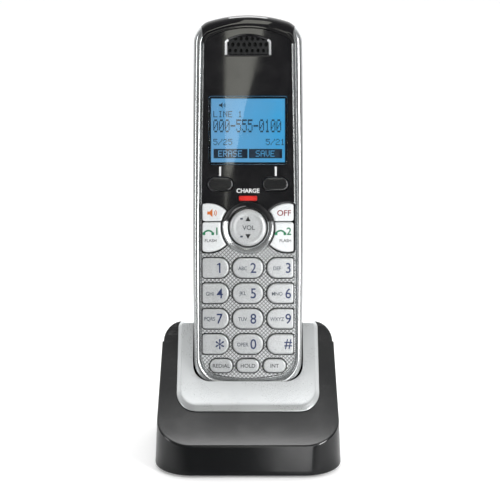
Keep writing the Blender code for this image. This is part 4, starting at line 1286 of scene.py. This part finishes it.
class TELEPHONE_OT_keys(bpy.types.Operator):
    """Every key that slides, with its printed mark"""

    bl_idname = "telephone.keys"
    bl_label = "Keys"

    def execute(self, context):
        self.height = context.scene.telephone_sizes.print_height
        self.digit = context.scene.telephone_sizes.digit_height
        for name, outline in {**dial_outlines(), **function_outlines(), **soft_outlines()}.items():
            soft = name.startswith("soft")
            silver = "pale key lacquer" if name in FUNCTION_KEYS else "key lacquer"
            self.cap(name, outline, "dark key" if soft else silver, "dark_keys" if soft else "silver_keys")
        for row, names in enumerate(DIAL):
            for column, name in enumerate(names):
                self.dial_print("key_" + name, name, (column - 1, FIRST_ROW - row * ROW_PITCH))
        for column, (name, word) in enumerate(SMALL_WORDS.items()):
            middle = ((column - 1) * SMALL_PITCH, SMALL_ROW)
            self.print_on(name, lettering(word, SMALL_PRINT, middle, KEY_FRONT, self.height, 0.04 * MM),
                          "grey ink")
        self.function_prints()
        return {"FINISHED"}

    def cap(self, name, outline, material, body_slot):
        levels = ((-0.04, KEY_SKIRT / MM), (-0.04, 0.6), (-0.04, -0.1), (-0.08, -0.26), (-0.18, -0.41),
                  (-0.32, -0.52), (-0.5, -0.6), (-0.7, -0.64), (-0.85, -0.65))
        rings = [at_depth(drawn_in(outline, -distance * MM), depth * MM) for distance, depth in levels]
        cap = merged(skin(rings))
        for face in cap.polygons:
            face.material_index = int(face.center.y > -0.12 * MM)
        add_piece(name + "_cap", cap, name, [material, "satin black"], [name])

    def print_on(self, key, data, material):
        add_piece(key + "_print", data, key, [material])

    def dial_print(self, key, name, place):
        side, up = place
        digit_at, letters_at = (places[side] * MM for places in (DIGIT_PLACES, LETTER_PLACES))
        mark = {"star": "*", "hash": "#"}.get(name, name)
        size = self.digit * (1.6 if name == "star" else 1.0)
        digit = lettering(mark, size, (digit_at, up), KEY_FRONT, self.height, 0.055 * MM, stretch=0.92)
        parts, slots = [digit], [0]
        if name == "1":
            flag = [(digit_at - 1.15 * MM, up + 1.3 * MM), (digit_at - 0.1 * MM, up + 2.05 * MM)]
            parts.append(stroke(flag, 0.55 * MM, KEY_FRONT, self.height * 0.8))
            slots.append(0)
        if name in DIGIT_LETTERS:
            place = (letters_at, up - 0.2 * MM)
            word = DIGIT_LETTERS[name]
            parts.append(lettering(word, SMALL_PRINT, place, KEY_FRONT, self.height, 0.025 * MM,
                                   stretch=0.86))
            slots.append(1)
        inks = ["digit ink", "letter ink"][: len(parts)]
        add_piece(key + "_print", joined(parts, slots), key, inks)

    def function_prints(self):
        front, height = KEY_FRONT, self.height
        middle = 16.2 * MM
        upper, lower = ROCKER_UP + 6.6 * MM, ROCKER_UP - 1.6 * MM
        self.print_on("key_speaker", speaker_icon((-middle, upper), 4.2 * MM, front, height), "orange ink")
        off = lettering("OFF", 2.6 * MM, (middle, upper), front, height, 0.05 * MM)
        self.print_on("key_off", off, "maroon ink")
        for side, key, word in ((-1, "key_line_1", "1"), (1, "key_line_2", "2")):
            icon = receiver_icon((side * middle - 1.6 * MM, lower), 3.8 * MM, front, height)
            number = lettering(word, 3.4 * MM, (side * middle + 2.2 * MM, lower), front, height, 0.08 * MM)
            flash = lettering("FLASH", 1.4 * MM, (side * (middle + 0.6 * MM), lower - 4.2 * MM), front,
                              height, 0.03 * MM)
            data = joined([icon, number, flash], [0, 0, 1])
            add_piece(key + "_print", data, key, ["green ink", "grey ink"])


class TELEPHONE_OT_rocker(bpy.types.Operator):
    """Round volume rocker with its arrows"""

    bl_idname = "telephone.rocker"
    bl_label = "Volume rocker"

    def execute(self, context):
        height = context.scene.telephone_sizes.print_height
        front = -0.62 * MM
        profile = [(8.3, 2.6), (8.3, 0.6), (8.27, 0.25), (8.12, -0.1), (7.85, -0.4), (7.45, -0.62),
                   (6.9, -0.75), (6.5, -0.78), (6.2, -0.72), (5.8, -0.64), (5.2, -0.62)]
        disc = turned([(radius * MM, depth * MM) for radius, depth in profile], (0, ROCKER_UP), "back", 96)
        add_piece("rocker_disc", disc, "volume_rocker", ["key lacquer"], ["volume_rocker"])
        marks = [
            triangle((0, ROCKER_UP + 4.0 * MM), 1.2 * MM, 2.2 * MM, front, height),
            triangle((0, ROCKER_UP - 4.0 * MM), 1.2 * MM, 2.2 * MM, front, height, down=True),
            lettering("VOL", 2.1 * MM, (0.3 * MM, ROCKER_UP), front, height, 0.04 * MM),
        ]
        for side in (-1, 1):
            card = rounded_box((-2.9 * MM, ROCKER_UP + side * 4.0 * MM), (0.62 * MM, 0.4 * MM), 0.15 * MM,
                               3)
            marks.append(marked(card, front, height))
        data = joined(marks, [0, 0, 1, 2, 2])
        inks = ["black ink", "grey ink", "letter ink"]
        add_piece("rocker_print", data, "volume_rocker", inks)
        return {"FINISHED"}


class TELEPHONE_OT_face_prints(bpy.types.Operator):
    """Word and ticks printed on the black lens"""

    bl_idname = "telephone.face_prints"
    bl_label = "Face prints"

    def execute(self, context):
        height = context.scene.telephone_sizes.print_height
        parts = [lettering("CHARGE", 1.9 * MM, (0, 90.9 * MM), LENS_FRONT, height, 0.07 * MM)]
        for side in (-1, 1):
            tick = rounded_box((side * 12.5 * MM, 99.6 * MM), (0.45 * MM, 2.1 * MM), 0.1 * MM, 3)
            parts.append(marked(tick, LENS_FRONT, height))
        add_piece("lens_prints", joined(parts), "handset", ["white ink"])
        return {"FINISHED"}


DOOR = [(-15.55, 46.5), (15.55, 46.5), (15.55, 112.0), (-15.55, 112.0)]
# Insets and depths of the rear shell, in millimetres, from the middle of its back to its edge and in again.
REAR_PROFILE = [(9.6, 26.0), (7.6, 25.75), (5.4, 25.05), (2.8, 23.1), (1.15, 20.4), (0.25, 17.4),
                (0.0, 15.4), (0.0, 13.025)]
REAR_INSIDE = [(1.6, 13.025), (1.6, 16.0), (2.6, 19.4), (4.6, 21.8), (7.0, 22.7), (9.6, 22.9)]
SCREW_UP = 149 * MM
SCREW_PITCH = 25 * MM
SOUND_SLOTS_UP = 133 * MM


class TELEPHONE_OT_rear(bpy.types.Operator):
    """Rear shell with its sound slots and screws, and the sliding battery door"""

    bl_idname = "telephone.rear"
    bl_label = "Rear shell and battery door"

    def execute(self, context):
        profile = smooth_curve(REAR_PROFILE, 3) + REAR_INSIDE
        shell = skin([at_depth(handset_outline(inset * MM), depth * MM) for inset, depth in profile])
        low, high = DOOR[0][1] - 8.5, DOOR[2][1] + 0.35
        half = DOOR[1][0] + 0.35
        recess_corners = ((-half, low), (half, low), (half, high), (-half, high))
        recess = rounded_polygon([(x * MM, y * MM, 2 * MM) for x, y in recess_corners])
        bay = rounded_box((0, 78 * MM), (13 * MM, 27 * MM), 1.5 * MM, 4)
        slots = grown_from("Set out", slot_shape(8 * MM, 0.6 * MM, 4 * MM), "satin black", Columns=1,
                           Rows=5, Column_pitch=0.0, Row_pitch=3 * MM, Taper=0.125)
        data_on_front(slots, (0, SOUND_SLOTS_UP), 24 * MM)
        hole = turned(((2.3 * MM, -4 * MM), (2.3 * MM, 4 * MM)), (0, 0), "up", 40)
        holes = grown_from("Set out", hole, "satin black",
                           Columns=2, Rows=1, Column_pitch=SCREW_PITCH, Row_pitch=0.0)
        data_on_front(holes, (0, SCREW_UP), 24 * MM)
        contact_size = (2.3 * MM, 2.05 * MM)
        contacts = [rounded_box((side * 9 * MM, 15.95 * MM), contact_size, 0.3 * MM, 4) for side in (-1, 1)]
        contacts = joined([upright(outline, -2 * MM, 4 * MM) for outline in contacts])
        cutters = [prisms([recess], 24.3 * MM, 30 * MM), prisms([bay], 20 * MM, 27 * MM), slots, holes,
                   contacts]
        shell = rounded_edges(cut(shell, cutters), 0.22 * MM, 42, 2)
        add_piece("rear_housing", shell, "handset", ["satin black"], ["rear_shell"])
        self.door()
        self.screws()
        return {"FINISHED"}

    def door(self):
        outline = rounded_polygon([(x * MM, y * MM, 1.7 * MM) for x, y in DOOR])
        door = slab(outline, 24.65 * MM, THICKNESS)
        grooves = grown_from("Set out", slot_shape(6.5 * MM, 0.5 * MM, 0.5 * MM), "satin black", Columns=1,
                             Rows=5, Column_pitch=0.0, Row_pitch=2 * MM, Taper=0.1)
        data_on_front(grooves, (0, 104 * MM), THICKNESS)
        door = rounded_edges(cut(door, [grooves]), 0.2 * MM, 40, 2)
        add_piece("battery_cover", door, "battery_door", ["satin black"], ["battery_door"])

    def screws(self):
        head = crossed_screw(1.9 * MM, 1.3 * MM, 0.55 * MM)
        heads = grown_from("Set out", head, "plated metal", Columns=2, Rows=1, Column_pitch=SCREW_PITCH,
                           Row_pitch=0.0)
        heads.transform(Matrix.Translation((0, 25.0 * MM, SCREW_UP)) @ Matrix.Rotation(math.radians(-90), 4,
                                                                                       "X"))
        names = ["rear_screw_left", "rear_screw_right"]
        add_piece("rear_screw_heads", heads, "handset", ["plated metal"], names)


# Pieces of the cradle


def sweep_height(deep):
    run = deep - RIDGE_Y
    return RIDGE_HEIGHT + SWEEP_SLOPE * run + SWEEP_CURVE * run * run


def mirrored(half):
    return half + [(-across, deep) for across, deep in reversed(half)]


def cradle_outline(sides=40):
    front, back = CRADLE_FRONT + FRONT_CORNER, CRADLE_BACK - BACK_CORNER
    half = arc((CRADLE_HALF_WIDTH - FRONT_CORNER, front), FRONT_CORNER, -90, 0, 26)
    half += [(CRADLE_HALF_WIDTH, front + (back - front) * step / sides) for step in range(1, sides)]
    half += arc((CRADLE_HALF_WIDTH - BACK_CORNER, back), BACK_CORNER, 0, 90, 16)
    return mirrored(half)


def drafted_ring(outline, inset, height_of):
    outward = [Vector(far) - Vector(near) for far, near in zip(grow(outline, 1 * MM), outline)]
    ring = []
    for (across, deep), step in zip(outline, outward):
        normal = step / MM
        draft = SIDE_DRAFT + FRONT_DRAFT * max(0.0, -normal.y) ** 2
        height = height_of(deep)
        for _ in range(4):
            move = inset + draft * height
            height = height_of(deep - normal.y * move)
        ring.append(Vector((across - normal.x * move, deep - normal.y * move, height)))
    return ring


def cradle_rings():
    outline = cradle_outline()
    rings = [drafted_ring(outline, 0.6 * MM, lambda deep: CRADLE_BOTTOM),
             drafted_ring(outline, 0.15 * MM, lambda deep: CRADLE_BOTTOM + 0.15 * MM),
             drafted_ring(outline, 0.0, lambda deep: CRADLE_BOTTOM + 0.6 * MM)]
    for share in (0.2, 0.4, 0.6, 0.8):
        rings.append(drafted_ring(
            outline, 0.0, lambda deep: CRADLE_BOTTOM + share * (sweep_height(deep) - CRADLE_BOTTOM)))
    for inset, drop in ((0.0, 0.6), (0.03, 0.38), (0.12, 0.2), (0.26, 0.08), (0.42, 0.02), (0.6, 0.0)):
        rings.append(drafted_ring(outline, inset * MM, lambda deep: sweep_height(deep) - drop * MM))
    return rings


def behind_crest():
    corner = arc((CREST_HALF_WIDTH - CREST_CORNER, CREST_Y - CREST_CORNER), CREST_CORNER, 90, 0, 18)
    half = corner + [(CRADLE_HALF_WIDTH + 3 * MM, corner[-1][1])]
    line = [(-across, deep) for across, deep in reversed(half)] + half
    far, top = CRADLE_BACK + 8 * MM, 90 * MM
    rings = []
    for across, deep in line:
        height = sweep_height(deep)
        end = height - BACK_FALL * (far - deep)
        corners = ((deep, height), (far, end), (far, top), (deep, top))
        rings.append([Vector((across, y, z)) for y, z in corners])
    return rings


def well_rings():
    levels = (
        (-0.7, 16.0, 2.4, 22.0, 5.0), (0.5, 19.6, 0.9, 24.4, 6.0), (2.0, 21.8, -0.3, 25.6, 6.5),
        (4.0, 23.4, -0.6, 26.3, 6.5), (8.0, 24.6, -0.6, 26.6, 6.0), (14.0, 25.0, -0.6, 26.6, 5.5),
        (70.0, 25.3, -0.6, 26.6, 5.5),
    )
    rings = []
    for height, half, front, back, radius in levels:
        centre = (0, (front + back) / 2 * MM)
        rings.append(at_height(rounded_box(centre, (half * MM, (back - front) / 2 * MM), radius * MM, 12),
                               height * MM))
    return rings


def well_cutter():
    """The pocket for the handset's lower end, in the cradle's own frame."""
    well = skin(well_rings())
    well.transform(CRADLE.inverted() @ HANDSET)
    return well


def plate_rings():
    half = arc((PLATE_HALF_WIDTH - 9 * MM, PLATE_FRONT + 9 * MM), 9 * MM, -90, 0, 22)
    front, back = PLATE_FRONT + 9 * MM, PLATE_BACK - 3 * MM
    half += [(PLATE_HALF_WIDTH, front + (back - front) * step / 30) for step in range(1, 30)]
    half += arc((PLATE_HALF_WIDTH - 3 * MM, back), 3 * MM, 0, 90, 10)
    outline = mirrored(half)
    rings = []
    for inset, lift in ((1.2, 0.3), (0.12, 0.32), (0.0, 0.45), (0.02, 0.62), (0.1, 0.74), (1.35, 1.45),
                        (1.5, 1.56), (1.75, 1.64), (2.1, 1.68), (2.8, 1.7)):
        ring = grow(outline, -inset * MM)
        rings.append([Vector((across, deep, sweep_height(deep) + lift * MM)) for across, deep in ring])
    return rings


class TELEPHONE_OT_cradle(bpy.types.Operator):
    """Black cradle with its swept top, and the silver plate round the well"""

    bl_idname = "telephone.cradle"
    bl_label = "Cradle"

    def execute(self, context):
        body = skin(cradle_rings(), "ladder")
        floor_outline = grow(cradle_outline(8), -2.5 * MM)
        recess = upright(floor_outline, -3 * MM, 3.5 * MM)
        socket = turned(((4.3 * MM, 24 * MM), (4.3 * MM, 36 * MM)), INLET_PLACE, "back", 40)
        body = cut(body, [skin(behind_crest()), well_cutter(), recess, socket])
        body = rounded_edges(body, context.scene.telephone_sizes.moulding_round, 32, 3)
        add_piece("cradle_housing", body, "cradle", ["cradle black"], ["cradle_body"])
        plate = cut(skin(plate_rings(), "ladder"), [well_cutter()])
        plate = rounded_edges(plate, 0.25 * MM, 50, 3)
        add_piece("silver_plate", plate, "cradle", ["silver plate"], ["cradle_plate"],
                  sharp=24)
        return {"FINISHED"}


class TELEPHONE_OT_cradle_base(bpy.types.Operator):
    """Floor of the cradle, its feet and screws, and the power inlet"""

    bl_idname = "telephone.cradle_base"
    bl_label = "Cradle base"

    def execute(self, context):
        outline = grow(cradle_outline(12), -2.9 * MM)
        floor = upright(outline, 1.5 * MM, 3.1 * MM)
        well = turned(((3.0 * MM, -1 * MM), (3.0 * MM, 1 * MM)), (0, 0), "up", 40)
        wells = grown_from("Set out", well, "cradle black", Columns=2, Rows=2, Column_pitch=66 * MM,
                           Row_pitch=26 * MM)
        wells.transform(Matrix.Translation((0, -1 * MM, 1.4 * MM)))
        floor = rounded_edges(cut(floor, [wells]), 0.2 * MM, 40, 2)
        add_piece("cradle_floor", floor, "cradle", ["cradle black"], ["cradle_base"])
        foot_profile = ((3.4, 0.12), (3.9, 0.0), (4.3, 0.03), (4.55, 0.2), (4.6, 0.5), (4.6, 1.15))
        foot = turned([(radius * MM, height * MM) for radius, height in foot_profile], (0, 0), "up", 48)
        feet = grown_from("Set out", foot, "rubber", Columns=2, Rows=2, Column_pitch=62 * MM,
                          Row_pitch=50 * MM)
        feet.transform(Matrix.Translation((0, -2 * MM, 0)))
        names = ["foot_" + corner for corner in CRADLE_CORNERS]
        add_piece("feet", feet, "cradle", ["rubber"], names)
        head = crossed_screw(2.6 * MM, 0.45 * MM, 0.7 * MM)
        head.transform(Matrix.Rotation(math.radians(180), 4, "X"))
        heads = grown_from("Set out", head, "plated metal", Columns=2, Rows=2, Column_pitch=66 * MM,
                           Row_pitch=26 * MM)
        heads.transform(Matrix.Translation((0, -1 * MM, 1.6 * MM)))
        names = ["base_screw_" + corner for corner in CRADLE_CORNERS]
        add_piece("base_screw_heads", heads, "cradle", ["plated metal"], names)
        jack = ((4.6, 17), (4.6, 26.5), (3.8, 26.6), (3.8, 30.3), (3.6, 30.6), (3.1, 30.6), (2.9, 30.4),
                (2.9, 22), (1.0, 22), (1.0, 29.2), (0.7, 29.6))
        inlet = turned([(radius * MM, depth * MM) for radius, depth in jack], INLET_PLACE, "back", 48)
        add_piece("power_socket", inlet, "cradle", ["cradle black"], ["power_inlet"])
        return {"FINISHED"}


INNER_FINISHES = {
    "circuit board": ("main_board", "cradle_board"),
    "plated metal": ("antenna", "radio_shield", "earpiece_speaker", "loudspeaker", "microphone",
                     "handset_contact_left", "handset_contact_right", "cradle_contact_left",
                     "cradle_contact_right"),
    "battery wrap": ("battery_pack",),
    "silicone": ("keypad_mat",),
    "diffuser": ("lcd_backlight",),
}


class TELEPHONE_OT_inner_parts(bpy.types.Operator):
    """Finishes of the parts inside: boards, contacts, speakers, battery, key mat and backlight"""

    bl_idname = "telephone.inner_parts"
    bl_label = "Inner parts"

    def execute(self, context):
        for finish, names in INNER_FINISHES.items():
            for name in names:
                data = frame["nodes"][name].data
                data.materials.clear()
                data.materials.append(bpy.data.materials[finish])
        return {"FINISHED"}


INKS = {
    "display": (0.012, 0.03, 0.06), "letter": (0.04, 0.055, 0.08), "grey": (0.07, 0.075, 0.08),
    "white": (0.8, 0.81, 0.81), "black": (0.006, 0.006, 0.007), "orange": (0.62, 0.16, 0.03),
    "maroon": (0.24, 0.03, 0.035), "green": (0.015, 0.2, 0.09),
}


class TELEPHONE_OT_finishes(bpy.types.Operator):
    """Node groups and materials of every finish"""

    bl_idname = "telephone.finishes"
    bl_label = "Finishes"

    def execute(self, context):
        for make in (make_grain_group, make_handling_group, make_edge_wear_and_highlight_group, make_dust_group,
                     make_flake_group, make_ridges_group, make_set_out_tree, make_holes_tree):
            make()
        chosen = context.scene.telephone_colours
        silver, black, housing = tuple(chosen.silver), tuple(chosen.black), tuple(chosen.housing)
        keys = tuple(chosen.keys)
        moulded("silver lacquer", scaled(silver, 0.76), 0.05, (0.16, 0.26), (3200.0, 1.2e-6), 0.35,
                (0.75, 0.76, 0.77), 0.03, 0.12, flake=0.06, metallic=0.8, coat_weight=0.3,
                coat_roughness=0.1)
        moulded("silver plate", silver, 0.03, (0.27, 0.32), (3200.0, 2e-6), 0.35, (0.75, 0.76, 0.77), 0.02,
                0.1, flake=0.05, metallic=0.8, coat_weight=0.3, coat_roughness=0.12)
        # Its pattern's dark line colour paints shade into the grooves of the diamond texture.
        moulded("silver key panel", silver, 0.04, (0.3, 0.42), (3200.0, 3e-6), 0.3, (0.75, 0.76, 0.77),
                0.04, pattern=(1.25 * MM, 1.6e-4, scaled(silver, 0.2), math.radians(45)),
                flake=0.1, metallic=0.5)
        moulded("key lacquer", keys, 0.04, (0.24, 0.36), (3600.0, 2e-6), 0.4, (0.8, 0.8, 0.8), 0.03,
                flake=0.08, metallic=0.25, coat_weight=0.4, coat_roughness=0.1)
        moulded("pale key lacquer", scaled(keys, 1.45), 0.04, (0.24, 0.36), (3600.0, 2e-6), 0.4,
                (0.9, 0.9, 0.9), 0.03, flake=0.06, metallic=0.1, coat_weight=0.4, coat_roughness=0.1)
        # Pale finish of the earpiece recess's side walls: a painted highlight.
        moulded("bright trim", (0.8, 0.81, 0.82), 0.04, (0.2, 0.3), (4000.0, 2e-6), 0.2, (0.9, 0.9, 0.9),
                0.02, metallic=0.35)
        moulded("gloss black", black, 0.1, (0.03, 0.1), (300.0, 1.2e-6), 0.12, (0.06, 0.06, 0.06), 0.03,
                0.3, coat_weight=0.6, coat_roughness=0.03)
        moulded("satin black", housing, 0.15, (0.36, 0.48), (2400.0, 1.2e-5), 0.35, (0.05, 0.05, 0.052),
                0.06)
        # The strong, pale edge lightening here paints the thin highlight along the cradle's ridge and
        # edges.
        moulded("cradle black", scaled(housing, 0.6), 0.15, (0.14, 0.24), (2400.0, 4e-6), 0.6,
                (0.1, 0.1, 0.1), 0.04, 0.25, coat_weight=0.2, coat_roughness=0.12)
        # The pale edge colour here paints a light rim round the soft keys.
        moulded("dark key", (0.014, 0.0145, 0.015), 0.1, (0.12, 0.24), (3000.0, 4e-6), 0.5,
                (0.25, 0.26, 0.27), 0.03, coat_weight=0.4, coat_roughness=0.08)
        # Near-black finish of the sheet behind the earpiece's holes: painted shade.
        moulded("felt", (0.004, 0.004, 0.004), 0.3, (0.85, 0.95), (2200.0, 3e-5), 0.0, dust=0.0)
        moulded("rubber", (0.016, 0.016, 0.017), 0.2, (0.65, 0.8), (1800.0, 2e-5), 0.3, dust=0.2)
        moulded("silicone", (0.32, 0.33, 0.34), 0.08, (0.5, 0.62), (1600.0, 1e-5), 0.1, dust=0.05,
                subsurface_weight=0.1)
        moulded("battery wrap", (0.02, 0.09, 0.28), 0.12, (0.22, 0.34), (900.0, 1e-5), 0.2, dust=0.03)
        moulded("plated metal", (0.6, 0.58, 0.54), 0.08, (0.2, 0.4), (3000.0, 4e-6), 0.4, (0.85, 0.8, 0.7),
                0.04, metallic=1.0)
        moulded("diffuser", (0.75, 0.79, 0.82), 0.04, (0.45, 0.55), (1200.0, 4e-6), 0.05, dust=0.02)
        make_glass("clear window", (0.93, 0.97, 1.0))
        make_display("backlit display", tuple(chosen.display_left_with_reflection), tuple(chosen.display_right), 1.0)
        make_glow("red light", (0.5, 0.012, 0.008), 0.35)
        make_board("circuit board", (0.015, 0.13, 0.05))
        printed("digit ink", tuple(chosen.digits))
        for name, colour in INKS.items():
            printed(name + " ink", colour)
        return {"FINISHED"}


# Stage

LOOKED_AT = (0.0009, 0, 0.0899)
LIT = (0, 0, 0.08)

# Outlines of two reflecting cards, as the face mirrors them, in millimetres on the handset.
TALL_CARD = ((-10.3, 400.0), (60.0, 400.0), (9.3, 172.0), (1.0, 137.0), (-1.6, 127.0), (-6.0, 105.0),
             (-9.3, 90.0), (-10.3, 60.0))
NEAR_CARD = ((12.0, 84.0), (90.0, 84.0), (90.0, -70.0), (12.0, -70.0))


class TELEPHONE_OT_stage(bpy.types.Operator):
    """Pale floor, soft lights and the camera"""

    bl_idname = "telephone.stage"
    bl_label = "Stage"

    def execute(self, context):
        studio = context.scene.telephone_studio
        self.floor(studio)
        self.room(studio)
        self.lights(studio)
        self.camera(studio)
        eye = context.scene.camera.location
        self.card("tall_card", eye, TALL_CARD, 0.95, 0.7, (1.0, 1.0, 0.9))
        self.card("near_card", eye, NEAR_CARD, 0.2, 1.3, (1.0, 1.0, 1.0))
        context.scene.view_settings.view_transform = "Standard"
        return {"FINISHED"}

    def floor(self, studio):
        half = studio.floor_size / 2
        outline = rounded_box((0, 0), (half, half), half * 0.3, 12)
        floor = as_object("floor", upright(outline, -0.02, 0.0))
        tree, principled, place = start_material("pale floor")
        drift = noise(tree, place, 3.0)
        pale = blend_colours(tree, drift, (0.86, 0.86, 0.86), (0.9, 0.9, 0.9))
        ground = add_node(tree, "ShaderNodeSeparateXYZ", {0: place})
        spread = add_node(tree, "ShaderNodeVectorMath", {0: place}, operation="LENGTH").outputs["Value"]
        forward = calculate(tree, "DIVIDE", ground.outputs["Y"], spread)
        dim = remap(tree, forward, -0.96, -0.45, 0.06, 0.75)
        # Seen in gloss reflections the floor is darkened towards the front: painted shade standing in for a
        # dim studio in front.
        mirrored_in_gloss = tree.nodes.new("ShaderNodeLightPath").outputs["Is Glossy Ray"]
        shade = calculate(tree, "ADD", calculate(tree, "SUBTRACT", 1.0, mirrored_in_gloss),
                          calculate(tree, "MULTIPLY", dim, mirrored_in_gloss))
        put(tree, principled.inputs["Base Color"], blend_colours(tree, shade, (0.02, 0.02, 0.02), pale))
        put(tree, principled.inputs["Roughness"], remap(tree, drift, 0.0, 1.0, 0.7, 0.8))
        put(tree, principled.inputs["Specular IOR Level"], 0.2)
        put(tree, principled.inputs["Emission Color"], blend_colours(tree, shade, (0.0, 0.0, 0.0),
                                                                     (1.0, 1.0, 1.0)))
        put(tree, principled.inputs["Emission Strength"], 0.24)
        floor.data.materials.append(bpy.data.materials["pale floor"])

    def room(self, studio):
        """White where the camera looks; for reflections, bright behind and above and dim in front."""
        world = bpy.data.worlds.new("room")
        world.use_nodes = True
        bpy.context.scene.world = world
        tree = world.node_tree
        background = tree.nodes["Background"]
        direction = add_node(tree, "ShaderNodeSeparateXYZ",
                             {0: tree.nodes.new("ShaderNodeTexCoord").outputs["Generated"]})
        ramp = add_node(tree, "ShaderNodeValToRGB", {"Fac": remap(tree, direction.outputs["Y"], 1.0, -1.0)})
        stops = ((0.0, 1.0), (0.32, 1.0), (0.5, 0.36), (0.64, 0.24), (0.82, 0.07), (1.0, 0.04))
        while len(ramp.color_ramp.elements) < len(stops):
            ramp.color_ramp.elements.new(0.5)
        for element, (place, level) in zip(ramp.color_ramp.elements, stops):
            element.position = place
            element.color = (level, level, level, 1)
        sideways = remap(tree, calculate(tree, "ABSOLUTE", direction.outputs["X"]), 0.7, 0.95, 1.0, 0.12)
        light = blend_colours(tree, 1.0, ramp.outputs["Color"], sideways, "MULTIPLY")
        seen = tree.nodes.new("ShaderNodeLightPath").outputs["Is Camera Ray"]
        put(tree, background.inputs["Color"], blend_colours(tree, seen, light, (1.0, 1.0, 1.0)))
        put(tree, background.inputs["Strength"], remap(tree, seen, 0.0, 1.0, studio.room_light, 1.0))

    def lights(self, studio):
        soft = (
            ("key", (0.3, -0.3, 0.22), (0.12, 0.3), studio.key_light),
            ("fill", (-0.9, -0.45, 0.4), (0.25, 0.6), studio.key_light * 1.6),
            ("top", (0.0, 0.4, 1.05), (0.3, 0.45), studio.key_light * 2.0),
        )
        for name, place, size, power in soft:
            self.area(name, Vector(place), Vector(LIT), size, power)

    def card(self, name, eye, outline, distance, strength, tint):
        """A pale card in front, which the face mirrors towards the camera inside the given outline."""
        normal = -DEEP
        corners = []
        for across, up in outline:
            spot = HANDSET @ Vector((across * MM, LENS_FRONT, up * MM))
            sight = (spot - eye).normalized()
            away = sight - 2 * sight.dot(normal) * normal
            corners.append(spot + away * (distance / away.dot(normal)))
        mesh = bmesh.new()
        mesh.faces.new([mesh.verts.new(corner) for corner in corners])
        card = as_object(name, as_mesh(mesh))
        tree, principled, place = start_material("pale " + name)
        drift = noise(tree, place, 2.0)
        for label in ("Base Color", "Emission Color"):
            put(tree, principled.inputs[label], blend_colours(tree, drift, scaled(tint, 0.95), tint))
        put(tree, principled.inputs["Emission Strength"], strength)
        card.data.materials.append(bpy.data.materials["pale " + name])
        card.visible_camera = False
        card.visible_diffuse = False

    def area(self, name, place, target, size, power):
        data = bpy.data.lights.new(name, "AREA")
        data.shape = "RECTANGLE"
        data.size, data.size_y = size
        data.energy = power
        light = bpy.data.objects.new(name, data)
        light.location = place
        light.rotation_euler = (target - place).to_track_quat("-Z", "Y").to_euler()
        light.visible_camera = False
        bpy.context.scene.collection.objects.link(light)

    def camera(self, studio):
        target = Vector(LOOKED_AT)
        back = Vector((0, -math.cos(studio.elevation), math.sin(studio.elevation)))
        data = bpy.data.cameras.new("camera")
        data.lens = studio.lens
        data.clip_start, data.clip_end = 0.05, 50
        camera = bpy.data.objects.new("camera", data)
        camera.location = target + back * studio.distance
        camera.rotation_euler = (-back).to_track_quat("-Z", "Y").to_euler()
        bpy.context.scene.collection.objects.link(camera)
        bpy.context.scene.camera = camera


# The add-on

OPERATORS = (
    TELEPHONE_OT_finishes, TELEPHONE_OT_front_shell, TELEPHONE_OT_face, TELEPHONE_OT_display,
    TELEPHONE_OT_earpiece, TELEPHONE_OT_keys, TELEPHONE_OT_rocker, TELEPHONE_OT_face_prints,
    TELEPHONE_OT_rear, TELEPHONE_OT_cradle, TELEPHONE_OT_cradle_base, TELEPHONE_OT_inner_parts,
    TELEPHONE_OT_stage,
)
SETTINGS = {
    "telephone_colours": TelephoneColours,
    "telephone_sizes": TelephoneSizes,
    "telephone_studio": TelephoneStudio,
}


class TELEPHONE_PT_panel(bpy.types.Panel):
    """Lists the settings and the pieces"""

    bl_idname = "TELEPHONE_PT_panel"
    bl_label = "Cordless telephone"
    bl_space_type = "VIEW_3D"
    bl_region_type = "UI"
    bl_category = "Telephone"

    def draw(self, context):
        for name, group in SETTINGS.items():
            box = self.layout.box()
            for field in group.__annotations__:
                box.prop(getattr(context.scene, name), field)
        for operator in OPERATORS:
            self.layout.operator(operator.bl_idname)


def register():
    for group in (*SETTINGS.values(), *OPERATORS, TELEPHONE_PT_panel):
        bpy.utils.register_class(group)
    for name, group in SETTINGS.items():
        setattr(bpy.types.Scene, name, PointerProperty(type=group))


def unregister():
    for name in SETTINGS:
        delattr(bpy.types.Scene, name)
    for group in (TELEPHONE_PT_panel, *OPERATORS, *SETTINGS.values()):
        bpy.utils.unregister_class(group)


def corners(bounds):
    return [[float(value) for value in corner] for corner in bounds]


def main():
    register()
    for operator in OPERATORS:
        area, name = operator.bl_idname.split(".")
        getattr(getattr(bpy.ops, area), name)()


if __name__ == "__main__":
    main()
